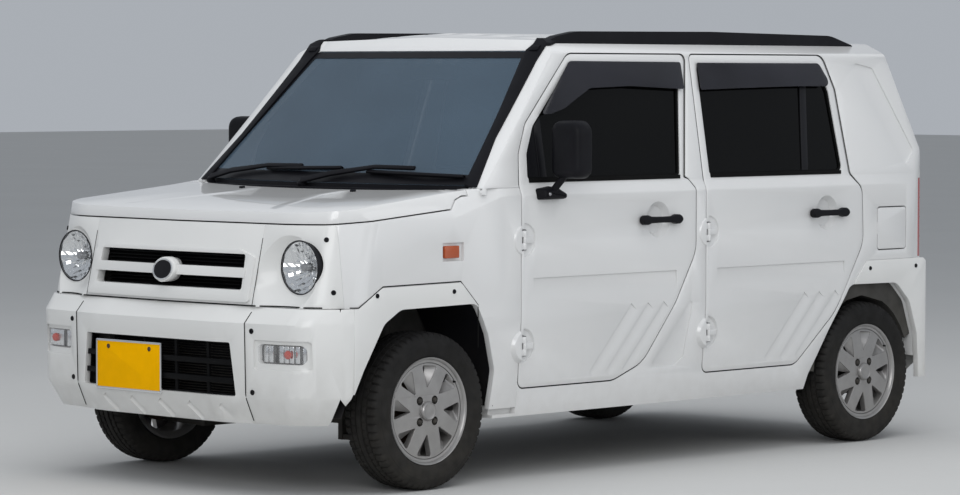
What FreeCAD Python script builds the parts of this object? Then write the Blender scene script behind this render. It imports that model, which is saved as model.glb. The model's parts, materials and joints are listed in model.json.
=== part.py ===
import FreeCAD, Part
import math
import os

os.makedirs("parts", exist_ok=True)
V = FreeCAD.Vector

# A boxy five-door kei hatchback. Millimetres. Front towards -Y, the car's left towards +X,
# floor at Z = 0, origin under the middle of the car's box.

# Overall size and stance
LENGTH = 3395.0
WIDTH = 1475.0
HEIGHT = 1550.0
WHEELBASE = 2360.0
FRONT_OVERHANG = 589.5
TRACK = 1295.0
TYRE_DIAMETER = 532.0
TYRE_WIDTH = 155.0
RIM_SEAT_DIAMETER = 326.0
RIM_FLANGE_DIAMETER = 362.0
RIM_WALL = 8.0
SPINDLE_DIAMETER = 30.0
SPINDLE_CLEARANCE = 0.05

# Skin thicknesses
DOOR_DEPTH = 110.0
PILLAR_DEPTH = 52.0
ROOF_DEPTH = 40.0
REAR_DEPTH = 60.0
SHELL = 22.0
FLOOR_THICKNESS = 30.0

# Gaps
SHUT_GAP = 5.0
SEAT_GAP = 0.3
HINGE_GAP = 0.3
DOOR_SKIN = 30.0
DOOR_LIP_DEPTH = 38.0
DOOR_INNER_INSET = 20.0
DOOR_LIP_INSET = 6.0
FRAME_SWEEP = 9.0

# Heights and widths of the cabin's section
TRIM_PROUD = 4.5
SIDE_X = WIDTH / 2 - TRIM_PROUD
SILL_Z = 220.0
SILL_KINK = 18.0
SILL_TUCK = 30.0
SHOULDER_Z = 978.0
BELT_Z = 1016.0
BELT_X = SIDE_X - 15.0
CANT_Z = 1470.0
CANT_X = SIDE_X - 94.0
ROOF_EDGE_X = 560.0
ROOF_EDGE_Z = 1512.0
ROOF_Z = 1525.0
FLOOR_Z = 250.0

FRONT_Y = -LENGTH / 2
REAR_Y = LENGTH / 2
AXLE_F = FRONT_Y + FRONT_OVERHANG
AXLE_R = AXLE_F + WHEELBASE
AXLE_Z = TYRE_DIAMETER / 2
WHEEL_X = TRACK / 2
FAR = 3000.0


def corner_wire(points, place):
    """Closed wire through (u, v, corner radius) points; place turns (u, v) into a vector."""
    spans = []
    count = len(points)
    for i in range(count):
        u, v = points[i][0], points[i][1]
        radius = points[i][2] if len(points[i]) > 2 else 0.0
        if radius == 0.0:
            spans.append(((u, v), None, (u, v)))
            continue
        before, after = points[i - 1], points[(i + 1) % count]
        au, av = before[0] - u, before[1] - v
        bu, bv = after[0] - u, after[1] - v
        al, bl = math.hypot(au, av), math.hypot(bu, bv)
        au, av, bu, bv = au / al, av / al, bu / bl, bv / bl
        half = math.acos(max(-1.0, min(1.0, au * bu + av * bv))) / 2
        reach = radius / math.tan(half)
        mu, mv = au + bu, av + bv
        ml = math.hypot(mu, mv)
        mu, mv = mu / ml, mv / ml
        inward = radius / math.sin(half) - radius
        spans.append(((u + au * reach, v + av * reach), (u + mu * inward, v + mv * inward),
                      (u + bu * reach, v + bv * reach)))
    edges = []
    for i in range(count):
        start, middle, end = spans[i]
        if middle is not None:
            edges.append(Part.Arc(place(*start), place(*middle), place(*end)).toShape())
        following = spans[(i + 1) % count][0]
        if math.hypot(following[0] - end[0], following[1] - end[1]) > 1e-6:
            edges.append(Part.LineSegment(place(*end), place(*following)).toShape())
    return Part.Wire(edges)


def prism_x(points, x0, x1):
    """Side outline of (y, z, radius) points, pushed from x0 to x1."""
    face = Part.Face(corner_wire(points, lambda u, v: V(x0, u, v)))
    return face.extrude(V(x1 - x0, 0, 0))


def prism_y(points, y0, y1):
    """Front outline of (x, z, radius) points, pushed from y0 to y1."""
    face = Part.Face(corner_wire(points, lambda u, v: V(u, y0, v)))
    return face.extrude(V(0, y1 - y0, 0))


def prism_z(points, z0, z1, lean=0.0):
    """Plan outline of (x, y, radius) points, pushed from z0 to z1 and leaning along Y."""
    face = Part.Face(corner_wire(points, lambda u, v: V(u, v, z0)))
    return face.extrude(V(0, lean * (z1 - z0), z1 - z0))


def box(x0, x1, y0, y1, z0, z1):
    return Part.makeBox(x1 - x0, y1 - y0, z1 - z0, V(x0, y0, z0))


def rod(start, end, radius):
    direction = V(*end) - V(*start)
    return Part.makeCylinder(radius, direction.Length, V(*start), direction)


def both_halves(half):
    """Full symmetric outline from its half with x > 0, listed from the top down."""
    return half + [(-p[0],) + tuple(p[1:]) for p in reversed(half)]


def mirrored(shape):
    return shape.mirror(V(0, 0, 0), V(1, 0, 0))


def pair(shape):
    return Part.makeCompound([shape, mirrored(shape)])


def fuse_all(shapes):
    whole = shapes[0]
    for shape in shapes[1:]:
        whole = whole.fuse(shape)
    return whole.removeSplitter()


def grown(points, amount):
    """Outline of (u, v, radius) points moved outwards by amount, kept round at its corners."""
    count = len(points)
    area = 0.0
    for i in range(count):
        a, b = points[i - 1], points[i]
        area += a[0] * b[1] - b[0] * a[1]
    turn = 1.0 if area > 0 else -1.0
    result = []
    for i in range(count):
        a, b, c = points[i - 1], points[i], points[(i + 1) % count]
        e1, e2 = (b[0] - a[0], b[1] - a[1]), (c[0] - b[0], c[1] - b[1])
        l1, l2 = math.hypot(*e1), math.hypot(*e2)
        n1 = (turn * e1[1] / l1, -turn * e1[0] / l1)
        n2 = (turn * e2[1] / l2, -turn * e2[0] / l2)
        scale = amount / (1.0 + n1[0] * n2[0] + n1[1] * n2[1])
        radius = b[2] if len(b) > 2 else 0.0
        convex = turn * (e1[0] * e2[1] - e1[1] * e2[0]) > 0
        if radius > 0.0:
            radius = max(radius + (amount if convex else -amount), 1.0)
        result.append((b[0] + scale * (n1[0] + n2[0]), b[1] + scale * (n1[1] + n2[1]), radius))
    return result


# Outer and inner envelope of the cabin
def cabin_section(side_in=0.0, pillar_in=0.0, roof_in=0.0, bottom=SILL_Z, tucked=True):
    """Cross-section of the cabin, drawn in at the doors, the pillars and the roof."""
    if tucked:
        foot = [(SIDE_X - side_in, 560.0, 300.0), (SIDE_X - SILL_KINK - side_in, 330.0, 100.0),
                (SIDE_X - SILL_TUCK - side_in, bottom)]
    else:
        foot = [(SIDE_X - side_in, bottom)]
    half = [
        (0.0, ROOF_Z - roof_in),
        (ROOF_EDGE_X - pillar_in, ROOF_EDGE_Z - roof_in, 60.0),
        (CANT_X - pillar_in, CANT_Z - roof_in, 25.0),
        (BELT_X - pillar_in, BELT_Z + pillar_in / 4, 4.0),
        (SIDE_X - side_in, SHOULDER_Z, 20.0),
    ] + foot
    return half + [(-p[0],) + tuple(p[1:]) for p in reversed(half[1:])]


REAR_FACE = [
    # y before the rear end, z, corner radius
    (42.0, 200.0, 0.0),
    (42.0, 760.0, 200.0),
    (52.0, 1000.0, 120.0),
    (212.0, 1400.0, 150.0),
    (262.0, 1530.0, 30.0),
    (300.0, 1560.0, 0.0),
]
NOSE_CUT_Y = -868.0


def cabin_profile(rear_in=0.0):
    rear = [(REAR_Y - back - rear_in, z, r) for back, z, r in REAR_FACE]
    return [(NOSE_CUT_Y, 200.0)] + rear + [(NOSE_CUT_Y, 1560.0)]


CABIN_PLAN_HALF = [
    # x, y, corner radius
    (SIDE_X, NOSE_CUT_Y),
    (SIDE_X, REAR_Y - 190.0, 200.0),
    (SIDE_X - 38.0, REAR_Y - 78.0, 40.0),
    (SIDE_X - 110.0, REAR_Y - 42.0, 60.0),
]

# Windscreen surface: a bowed foot and a nearly straight head
SCREEN_FOOT = (690.0, -853.0, 95.0, 1014.0)   # half width, y at the side, bow, z
SCREEN_HEAD = (540.0, -428.0, 18.0, 1476.0)


def screen_row(z):
    """Width, side y and bow of the screen at any height."""
    share = (z - SCREEN_FOOT[3]) / (SCREEN_HEAD[3] - SCREEN_FOOT[3])
    return tuple(a + (b - a) * share for a, b in zip(SCREEN_FOOT[:3], SCREEN_HEAD[:3])) + (z,)


def screen_block(front, back, z0, z1, widen):
    """Solid between two copies of the screen surface, front and back being y shifts."""
    wires = []
    for z in (z0, z1):
        row = screen_row(z)
        half = row[0] * widen
        bow = row[2] * widen ** 2
        corner_y = row[1] + (bow - row[2])
        front_left, front_right = V(half, corner_y + front, z), V(-half, corner_y + front, z)
        back_left, back_right = V(half, corner_y + back, z), V(-half, corner_y + back, z)
        outer = Part.Arc(front_right, V(0, corner_y - bow + front, z), front_left)
        inner = Part.Arc(back_left, V(0, corner_y - bow + back, z), back_right)
        left = Part.LineSegment(front_left, back_left)
        right = Part.LineSegment(back_right, front_right)
        wires.append(Part.Wire([edge.toShape() for edge in (outer, left, inner, right)]))
    return Part.makeLoft(wires, True, True)


def make_cabin(side_in, pillar_in, roof_in, rear_in, screen_in, bottom):
    """Cabin volume behind the windscreen's surface, drawn in by the given depths."""
    solid = prism_y(cabin_section(side_in, pillar_in, roof_in, bottom, side_in == 0.0), NOSE_CUT_Y, REAR_Y)
    solid = solid.common(prism_x(cabin_profile(rear_in), -FAR, FAR))
    if rear_in == 0.0:
        solid = solid.common(prism_z(both_halves(CABIN_PLAN_HALF), 0.0, 1700.0))
    front = screen_block(-900.0, screen_in, 940.0, 1600.0, 1.35)
    return solid.cut(front.common(box(-FAR, FAR, -FAR, FAR, 1000.0 - screen_in / 3, FAR)))


cabin_outer = make_cabin(0.0, 0.0, 0.0, 0.0, 0.0, SILL_Z)
cabin_inner = make_cabin(DOOR_DEPTH, PILLAR_DEPTH, ROOF_DEPTH, REAR_DEPTH, 45.0, SILL_Z - 20.0)
cabin_inner = cabin_inner.cut(box(-FAR, FAR, -FAR, NOSE_CUT_Y + 30.0, 0.0, FAR))
cabin_shell = cabin_outer.cut(cabin_inner)

# Side outlines of the doors, (y, z, corner radius), front door then rear door
FRONT_DOOR = [
    (-673.0, 318.0, 25.0),
    (-185.0, 318.0, 120.0),
    (-33.0, 373.0, 150.0),
    (132.0, 584.0, 200.0),
    (240.0, 760.0, 120.0),
    (240.0, 985.0, 25.0),
    (213.0, 1018.0, 12.0),
    (195.0, 1024.0, 10.0),
    (282.0, 1464.0, 20.0),
    (-345.0, 1464.0, 60.0),
    (-604.0, 1222.0, 60.0),
    (-655.0, 1120.0, 40.0),
    (-673.0, 1008.0, 40.0),
]
REAR_DOOR = [
    (300.0, 318.0, 25.0),
    (829.0, 318.0, 70.0),
    (1045.0, 500.0, 250.0),
    (1213.0, 760.0, 120.0),
    (1205.0, 960.0, 60.0),
    (1150.0, 1022.0, 30.0),
    (1125.0, 1337.0, 60.0),
    (1074.0, 1464.0, 45.0),
    (305.0, 1464.0, 20.0),
    (300.0, 1010.0, 20.0),
]
FRONT_WINDOW = [
    (-628.0, 1030.0, 15.0),
    (172.0, 1030.0, 15.0),
    (240.0, 1430.0, 30.0),
    (-340.0, 1430.0, 30.0),
    (-570.0, 1215.0, 40.0),
    (-618.0, 1120.0, 40.0),
]
REAR_WINDOW = [
    (335.0, 1030.0, 15.0),
    (1108.0, 1030.0, 25.0),
    (1085.0, 1330.0, 60.0),
    (1040.0, 1430.0, 40.0),
    (338.0, 1430.0, 20.0),
]
HINGE_Z = (462.0, 826.0)
HINGE_AHEAD = 12.0
HINGE_X = SIDE_X + 1.0
HINGE_ARM = 40.0
HINGE_PIN_R = 7.0
HINGE_HALF = 32.0
FRONT_HINGE_Y = FRONT_DOOR[0][0] + HINGE_AHEAD
REAR_HINGE_Y = REAR_DOOR[0][0] + HINGE_AHEAD


def swept_in(points):
    """Door outline with its upper rear edge drawn forward, so that it clears while turning."""
    result = []
    middle = sum(p[0] for p in points) / len(points)
    for p in points:
        shift = FRAME_SWEEP if p[1] > BELT_Z + 5 and p[0] > middle else 0.0
        result.append((p[0] - shift, p[1], p[2]))
    return result


def layer(inner_depth, outer_depth):
    """Cabin space between two depths below the skin, on the left side."""
    outer = prism_y(cabin_section(outer_depth, outer_depth, outer_depth, SILL_Z), NOSE_CUT_Y, REAR_Y)
    inner = prism_y(cabin_section(inner_depth, inner_depth, inner_depth, 0.0), NOSE_CUT_Y, REAR_Y)
    return outer.cut(inner).common(box(100.0, FAR, -FAR, FAR, 0.0, FAR))


def make_door(outline, window):
    """Door of the left side: skin to its full outline, inner part set in, window cut."""
    left_shell = cabin_shell.common(box(0.0, FAR, -FAR, FAR, 0.0, FAR))
    swept = swept_in(outline)
    skin = prism_x(swept, 0.0, FAR).common(layer(DOOR_SKIN, 0.0)).common(left_shell)
    inner = prism_x(grown(swept, -DOOR_INNER_INSET), 0.0, FAR).common(left_shell)
    door = skin.fuse(inner)
    door = door.cut(prism_x(window, 0.0, FAR).common(box(0, FAR, -FAR, FAR, BELT_Z, FAR)))
    rebate = prism_x(grown(window, 10.0), 0.0, FAR)
    rebate = rebate.common(layer(100.0, 10.0)).common(box(0, FAR, -FAR, FAR, BELT_Z, FAR))
    return door.cut(rebate)


def door_opening(outline):
    """Space that a door takes out of the body side, with its gaps and its rebate."""
    outer = prism_x(grown(outline, SHUT_GAP), 0.0, FAR).common(layer(DOOR_LIP_DEPTH, -10.0))
    inner = prism_x(grown(outline, -DOOR_LIP_INSET), 0.0, FAR).common(box(300.0, FAR, -FAR, FAR, 0, FAR))
    return outer.fuse(inner)


def make_glass(window):
    pane = prism_x(grown(window, 8.0), 0.0, FAR)
    return pane.common(layer(14.0, 10.0)).common(box(0, FAR, -FAR, FAR, BELT_Z + 8.0, FAR))


def hinge_set(hinge_y):
    """Fixed knuckles, moving knuckles and the room round them, on the left side."""
    fixed = []
    moving = []
    room = []
    third = HINGE_HALF * 2 / 3
    for z in HINGE_Z:
        low, high = z - HINGE_HALF, z + HINGE_HALF
        barrel = rod((HINGE_X, hinge_y, low), (HINGE_X, hinge_y, high), HINGE_PIN_R)
        fixed_arm = box(HINGE_X - 14.0, HINGE_X + 3.0, hinge_y - HINGE_ARM, hinge_y, low, high)
        moving_arm = box(HINGE_X - 14.0, HINGE_X + 3.0, hinge_y, hinge_y + HINGE_ARM, low, high)
        root = box(HINGE_X - 28.0, HINGE_X - 10.0, hinge_y + 16.0, hinge_y + HINGE_ARM, low, high)
        moving_arm = moving_arm.fuse(root)
        slot = box(HINGE_X - 30.0, HINGE_X + 30.0, hinge_y - 60.0, hinge_y + 60.0, low + third, high - third)
        tongue = box(HINGE_X - 30.0, HINGE_X + 30.0, hinge_y - 60.0, hinge_y + 60.0,
                     low + third + HINGE_GAP, high - third - HINGE_GAP)
        fixed.append(barrel.fuse(fixed_arm).cut(slot))
        moving.append(barrel.fuse(moving_arm).common(tongue))
        room.append(box(HINGE_X - 20.0, HINGE_X + 30.0, hinge_y - HINGE_PIN_R - 5.0,
                        hinge_y + HINGE_PIN_R + 5.0, low - 5.0, high + 5.0))
    return fixed, moving, room


HINGE_DOME_R = (66.0, 50.0)
HINGE_DISH_R = (64.0, 56.0)
HINGE_DOME_ROOT = 18.0
HINGE_DISH_DEPTH = 6.0
HINGE_DISH_ROOM = 20.0
SILL_SET_IN = 8.0


def hinge_dome(hinge_y, z, low_y, high_y):
    """Low dome on the fixed side of a hinge, between two depths."""
    foot = V(SIDE_X - HINGE_DOME_ROOT, hinge_y, z)
    dome = Part.makeCone(*HINGE_DOME_R, HINGE_DOME_ROOT + TRIM_PROUD, foot, V(1, 0, 0))
    return dome.common(box(0.0, FAR, low_y, high_y, 0.0, FAR))


def hinge_dish(hinge_y, z):
    """Shallow dish in the door behind a hinge."""
    base = SIDE_X - (SILL_SET_IN if z < 560.0 else 0.0)
    mouth = V(base + HINGE_DISH_ROOM - HINGE_DISH_DEPTH, hinge_y, z)
    dish = Part.makeCone(*HINGE_DISH_R, HINGE_DISH_ROOM, mouth, V(-1, 0, 0))
    return dish.common(box(0.0, FAR, hinge_y, FAR, 0.0, FAR))


# Front body: nose, bonnet and fenders
BONNET_REAR_Y = -918.0
BONNET_REAR_BOW = 85.0
BONNET_REAR_Z = 1002.0
BONNET_FRONT_Z = 937.0
BONNET_LIP_Z = 896.0
NOSE_FOOT_Z = 624.0
NOSE_LEAN = 0.226
NOSE_SIDE_SEAM_Y = -1497.0
NOSE_SEAM_X = 420.0
FENDER_REAR_Y = FRONT_DOOR[0][0] - SHUT_GAP
NOSE_PLAN_HALF = [
    # x, y at the foot of the nose, corner radius
    (SIDE_X, -500.0, 0.0),
    (SIDE_X, -1450.0, 150.0),
    (SIDE_X - 60.0, -1569.0, 110.0),
    (SIDE_X - 190.0, -1636.0, 260.0),
]
NOSE_TIP_Y = -1656.0
CROWN_Y = (-1010.0, -770.0)
CROWN_FRONT = [
    # x, z of the fender's sloping shoulder beside the bonnet
    (300.0, 1060.0),
    (SIDE_X - 62.0, 1020.0),
    (SIDE_X, 905.0),
]
CROWN_REAR = [
    # the same shoulder where it has become the doors'
    (300.0, 1060.0),
    (BELT_X, 1018.0),
    (SIDE_X, SHOULDER_Z),
]
NOSE_SIDE_HALF = [(SIDE_X, 560.0), (SIDE_X - SILL_KINK, 330.0), (SIDE_X - SILL_TUCK, 220.0)]


def crown_block(inset):
    """Volume under the fenders' shoulders, which rise to the doors' shoulder at the pillar."""
    rows = []
    for points in (CROWN_FRONT, CROWN_REAR):
        top, edge, corner = points
        half = [top, (edge[0] - inset, edge[1] - inset * 0.4), (corner[0] - inset, corner[1] - inset * 0.2)]
        rows.append(both_halves(half + [(x - inset, z) for x, z in NOSE_SIDE_HALF]))
    wires = [corner_wire(row, lambda u, v, y=y: V(u, y, v)) for row, y in zip(rows, CROWN_Y)]
    blend = Part.makeLoft(wires, True, True)
    return fuse_all([prism_y(rows[0], -FAR, CROWN_Y[0]), blend, prism_y(rows[1], CROWN_Y[1], FAR)])


def nose_block(inset):
    """Front body's outer volume, drawn in by inset."""
    half = NOSE_PLAN_HALF
    plan = half + [(0.0, NOSE_TIP_Y, 900.0)] + [(-p[0], p[1], p[2]) for p in reversed(half)]
    if inset != 0.0:
        plan = grown(plan, -inset)
        plan[0] = (plan[0][0], -500.0, 0.0)
        plan[-1] = (plan[-1][0], -500.0, 0.0)
    body = prism_z(plan, NOSE_FOOT_Z, 1100.0, NOSE_LEAN)
    low_plan = [(p[0], p[1], p[2]) for p in plan]
    body = body.fuse(prism_z(low_plan, 230.0, NOSE_FOOT_Z))
    slope = (BONNET_REAR_Z - BONNET_FRONT_Z) / (BONNET_REAR_Y + 1570.0)
    side = [(-1800.0, 200.0), (-1800.0, BONNET_FRONT_Z - slope * 230.0 - inset),
            (NOSE_CUT_Y + 300.0, BONNET_REAR_Z + slope * (NOSE_CUT_Y + 300.0 - BONNET_REAR_Y) - inset),
            (NOSE_CUT_Y + 300.0, 200.0)]
    body = body.common(prism_x(side, -FAR, FAR))
    return body.common(crown_block(inset))


nose_shell = nose_block(0.0).cut(nose_block(SHELL))

BONNET_SIDE_LINE = [
    # y, z of the bonnet's lower edge from the front to its rear corner
    (-1900.0, BONNET_LIP_Z),
    (-1521.0, 902.0),
    (-1004.0, 941.0),
    (-974.0, 972.0),
    (-940.0, 985.0),
]


def rear_bow(y_side, bow, y_far, half, z0, z1):
    """Plate in plan between a bowed front edge and a straight rear edge."""
    arc = Part.Arc(V(-half, y_side, z0), V(0, y_side - bow, z0), V(half, y_side, z0)).toShape()
    back = [V(half, y_side, z0), V(half, y_far, z0), V(-half, y_far, z0), V(-half, y_side, z0)]
    lines = [Part.LineSegment(back[i], back[i + 1]).toShape() for i in range(3)]
    return Part.Face(Part.Wire([arc] + lines)).extrude(V(0, 0, z1 - z0))


def make_bonnet():
    above = prism_x(BONNET_SIDE_LINE + [(-860.0, 985.0), (-860.0, 1200.0), (-1900.0, 1200.0)], -FAR, FAR)
    panel = nose_shell.common(above)
    panel = panel.cut(rear_bow(BONNET_REAR_Y, BONNET_REAR_BOW, -700.0, COWL_HALF + 10.0, 800.0, 1200.0))
    panel = panel.cut(box(-FAR, FAR, BONNET_REAR_Y, 0.0, 0.0, FAR))
    for piece in bonnet_hinge(True):
        panel = panel.fuse(piece).fuse(mirrored(piece))
    return panel


def bonnet_room():
    line = grown(BONNET_SIDE_LINE + [(-860.0, 985.0), (-860.0, 1200.0), (-1900.0, 1200.0)], SHUT_GAP)
    return prism_x(line, -FAR, FAR).common(box(-FAR, FAR, -FAR, BONNET_REAR_Y + SHUT_GAP, 0.0, FAR))


ARCH_FRONT = [
    # y from the front axle, z, corner radius
    (290.0, 180.0, 0.0),
    (313.0, 386.0, 60.0),
    (273.0, 510.0, 80.0),
    (212.0, 619.0, 50.0),
    (-153.0, 614.0, 60.0),
    (-230.0, 570.0, 60.0),
    (-325.0, 422.0, 100.0),
    (-408.0, 272.0, 20.0),
    (-430.0, 180.0, 0.0),
]
ARCH_REAR = [
    # y from the rear axle, z, corner radius
    (-372.0, 180.0, 0.0),
    (-337.0, 275.0, 60.0),
    (-232.0, 437.0, 100.0),
    (-112.0, 603.0, 50.0),
    (165.0, 600.0, 60.0),
    (247.0, 526.0, 80.0),
    (294.0, 400.0, 80.0),
    (302.0, 297.0, 20.0),
    (305.0, 180.0, 0.0),
]
arch_front = [(AXLE_F + dy, z, r) for dy, z, r in ARCH_FRONT]
arch_rear = [(AXLE_R + dy, z, r) for dy, z, r in ARCH_REAR]
CORNER_TRIM_FRONT = [
    # y, z, corner radius of the bumper corner's outline seen from the side
    (-1800.0, 200.0, 0.0),
    (-1800.0, 627.0, 0.0),
    (-1455.0, 624.0, 20.0),
    (-1345.0, 689.0, 25.0),
    (-975.0, 693.0, 30.0),
    (-893.0, 612.0, 0.0),
    (-893.0, 200.0, 0.0),
]
CORNER_TRIM_REAR = [
    (1110.0, 200.0, 0.0),
    (1163.0, 612.0, 0.0),
    (1237.0, 690.0, 25.0),
    (1585.0, 690.0, 20.0),
    (1649.0, 636.0, 10.0),
    (1800.0, 630.0, 0.0),
    (1800.0, 200.0, 0.0),
]
TRIM_GAP = 0.8
BUMPER_SEAM_X = 427.0


def bumper_block(table, inset):
    """Bumper volume as a stack of straight-sided spans between plan outlines."""
    spans = []
    for low, high in zip(table[:-1], table[1:]):
        wires = []
        for z, half in (low, high):
            plan = both_halves([(x, y, r) for x, y, r in half])
            if inset > 0.0:
                plan = grown(plan, -inset)
            wires.append(corner_wire(plan, lambda u, v, z=z: V(u, v, z)))
        spans.append(Part.makeLoft(wires, True, True))
    return fuse_all(spans)


HALF_W = WIDTH / 2
FRONT_BUMPER_ROWS = [
    # z, set in at the side, y where the side starts to turn, corner x and y, y of the middle
    (238.0, 36.0, -1460.0, 610.0, -1600.0, -1652.0),
    (330.0, 6.0, -1490.0, 650.0, -1640.0, -1692.0),
    (574.0, 0.0, -1500.0, 652.0, -1646.0, FRONT_Y),
    (626.0, 3.0, -1490.0, 650.0, -1604.0, -1648.0),
]
REAR_BUMPER_ROWS = [
    # the same columns for the rear bumper
    (238.0, 36.0, 1560.0, 610.0, 1660.0, 1672.0),
    (330.0, 6.0, 1590.0, 650.0, 1680.0, 1694.0),
    (590.0, 0.0, 1594.0, 652.0, 1684.0, REAR_Y),
    (636.0, 3.0, 1575.0, 650.0, 1664.0, 1676.0),
]
BUMPER_FLAT_HALF = 300.0


def bumper_plans(rows, end_y, corner_r):
    """Half plan outlines of a bumper, from the row table, with the side's free end at end_y."""
    plans = []
    for z, set_in, turn_y, corner_x, corner_y, middle_y in rows:
        side = HALF_W - set_in
        plans.append((z, [(side, end_y, 0.0), (side, turn_y, 90.0), (corner_x, corner_y, corner_r),
                          (BUMPER_FLAT_HALF, middle_y, 500.0)]))
    return plans


FRONT_BUMPER_PLANS = bumper_plans(FRONT_BUMPER_ROWS, -860.0, 120.0)
REAR_BUMPER_PLANS = bumper_plans(REAR_BUMPER_ROWS, 1100.0, 100.0)
LAMP_RECESS = [(462.0, 424.0, 10.0), (462.0, 521.0, 10.0), (672.0, 521.0, 10.0), (672.0, 424.0, 10.0)]
INDICATOR = [(478.0, 444.0, 14.0), (478.0, 508.0, 14.0), (655.0, 508.0, 20.0), (655.0, 444.0, 20.0)]
VALANCE_DENTS_X = (-285.0, -146.0, 0.0, 147.0, 302.0)
DENT_RUN = 55.0
DENT_Z = (292.0, 240.0)
DENT_R = 16.0
DENT_DEPTH = 6.0


def valance_dents():
    """Slanted hollows along the foot of the front bumper's middle."""
    lower, upper = FRONT_BUMPER_PLANS[0], FRONT_BUMPER_PLANS[1]
    y_low, y_high = lower[1][-1][1], upper[1][-1][1]
    slope = (y_high - y_low) / (upper[0] - lower[0])
    out = DENT_R - DENT_DEPTH
    ends = [(z, y_low + slope * (z - lower[0]) - out) for z in DENT_Z]
    (z0, y0), (z1, y1) = ends
    return [rod((x, y0, z0), (x + DENT_RUN, y1, z1), DENT_R) for x in VALANCE_DENTS_X]


def make_front_bumper():
    shell = bumper_block(FRONT_BUMPER_PLANS, 0.0).cut(bumper_block(FRONT_BUMPER_PLANS, SHELL).fuse(
        box(-FAR, FAR, -1640.0, 0.0, 200.0, 240.0)))
    rear_open = box(-HALF_W + SHELL, HALF_W - SHELL, -1520.0, 0.0, 0.0, FAR)
    shell = shell.cut(rear_open)
    lower_mouth = prism_y(LOWER_MOUTH, -FAR, -1500.0)
    centre = shell.common(box(-BUMPER_SEAM_X + TRIM_GAP / 2, BUMPER_SEAM_X - TRIM_GAP / 2, -FAR, 0, 0, FAR))
    centre = centre.cut(lower_mouth)
    for dent in valance_dents():
        centre = centre.cut(dent)
    flare = box(HALF_W - SHELL, HALF_W, -1476.0, -880.0, 230.0, 700.0)
    corner = shell.fuse(flare).common(prism_x(CORNER_TRIM_FRONT, BUMPER_SEAM_X + TRIM_GAP / 2, FAR))
    corner = corner.cut(prism_x(arch_front, 0.0, FAR))
    lamp = prism_y(LAMP_RECESS, -FAR, -1500.0)
    lamp_window = prism_y(INDICATOR, -FAR, -1500.0)
    recess = lamp.cut(bumper_block(FRONT_BUMPER_PLANS, 9.0))
    corner = corner.cut(recess).cut(lamp_window)
    return centre, corner


LOWER_MOUTH = both_halves([(362.0, 508.0, 8.0), (385.0, 330.0, 8.0)])
LOWER_BARS_Z = (381.0, 441.0)
LOWER_BAR_HALF = 9.0
GRILLE_THICKNESS = 8.0


def make_lower_grille():
    """Black backing of the bumper's mouth with two level bars that fill the mouth's width."""
    space = box(-FAR, FAR, -FAR, -1500.0, 0.0, FAR)
    hollow = bumper_block(FRONT_BUMPER_PLANS, SHELL + GRILLE_THICKNESS)
    behind = bumper_block(FRONT_BUMPER_PLANS, SHELL + SEAT_GAP).cut(hollow)
    behind = behind.common(space).common(prism_y(grown(LOWER_MOUTH, 14.0), -FAR, -1500.0))
    deep = bumper_block(FRONT_BUMPER_PLANS, GRILLE_THICKNESS).cut(hollow).common(space)
    mouth = prism_y(grown(LOWER_MOUTH, -SEAT_GAP), -FAR, -1500.0)
    grille = behind.cut(prism_y(grown(LOWER_MOUTH, -6.0), -FAR, -1500.0))
    for z in LOWER_BARS_Z:
        bar = deep.common(mouth).common(box(-FAR, FAR, -FAR, 0.0, z - LOWER_BAR_HALF, z + LOWER_BAR_HALF))
        grille = grille.fuse(bar)
    for x in (-240.0, -80.0, 80.0, 240.0):
        grille = grille.fuse(behind.common(box(x - 6.0, x + 6.0, -FAR, 0.0, 0.0, FAR)))
    return grille.removeSplitter()


def make_indicators():
    ring = bumper_block(FRONT_BUMPER_PLANS, 3.0).cut(bumper_block(FRONT_BUMPER_PLANS, SHELL))
    lens = prism_y(grown(INDICATOR, -SEAT_GAP), -FAR, -1500.0)
    return pair(ring.common(lens))


def make_rear_bumper():
    shell = bumper_block(REAR_BUMPER_PLANS, 0.0).cut(bumper_block(REAR_BUMPER_PLANS, SHELL).fuse(
        box(-FAR, FAR, 0.0, 1640.0, 200.0, 240.0)))
    shell = shell.cut(box(-HALF_W + SHELL, HALF_W - SHELL, 0.0, 1600.0, 0.0, FAR)).cut(cabin_outer)
    centre = shell.common(box(-BUMPER_SEAM_X + TRIM_GAP / 2, BUMPER_SEAM_X - TRIM_GAP / 2, 0, FAR, 0, FAR))
    flare = box(HALF_W - SHELL, HALF_W, 1110.0, 1600.0, 230.0, 700.0)
    corner = shell.fuse(flare).common(prism_x(CORNER_TRIM_REAR, BUMPER_SEAM_X + TRIM_GAP / 2, FAR))
    return centre, corner.cut(prism_x(arch_rear, 0.0, FAR))


def save(name, shape):
    shape.exportStep("parts/" + name + ".step")


# Nose panels and fenders
LAMP_X = 569.0
LAMP_Z = 758.0
LAMP_RIM_Y = -1564.0
LAMP_R = 90.0
LAMP_DEPTH = 70.0
LENS_RISE = 8.0
BOWL_DEPTH = 90.0
BOWL_SPREAD = 100.0
BOWL_LIP = 6.0
BOWL_WALL = 8.0
GRILLE_LOW, GRILLE_HIGH = 679.0, 797.0
GRILLE_HALF = 368.0
RIM_PROUD = 10.0
BAR_PROUD = 14.0
BOSS_PROUD = 26.0
BOSS_R = 40.0
BAR_LOW, BAR_HIGH = 720.0, 752.0


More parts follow.
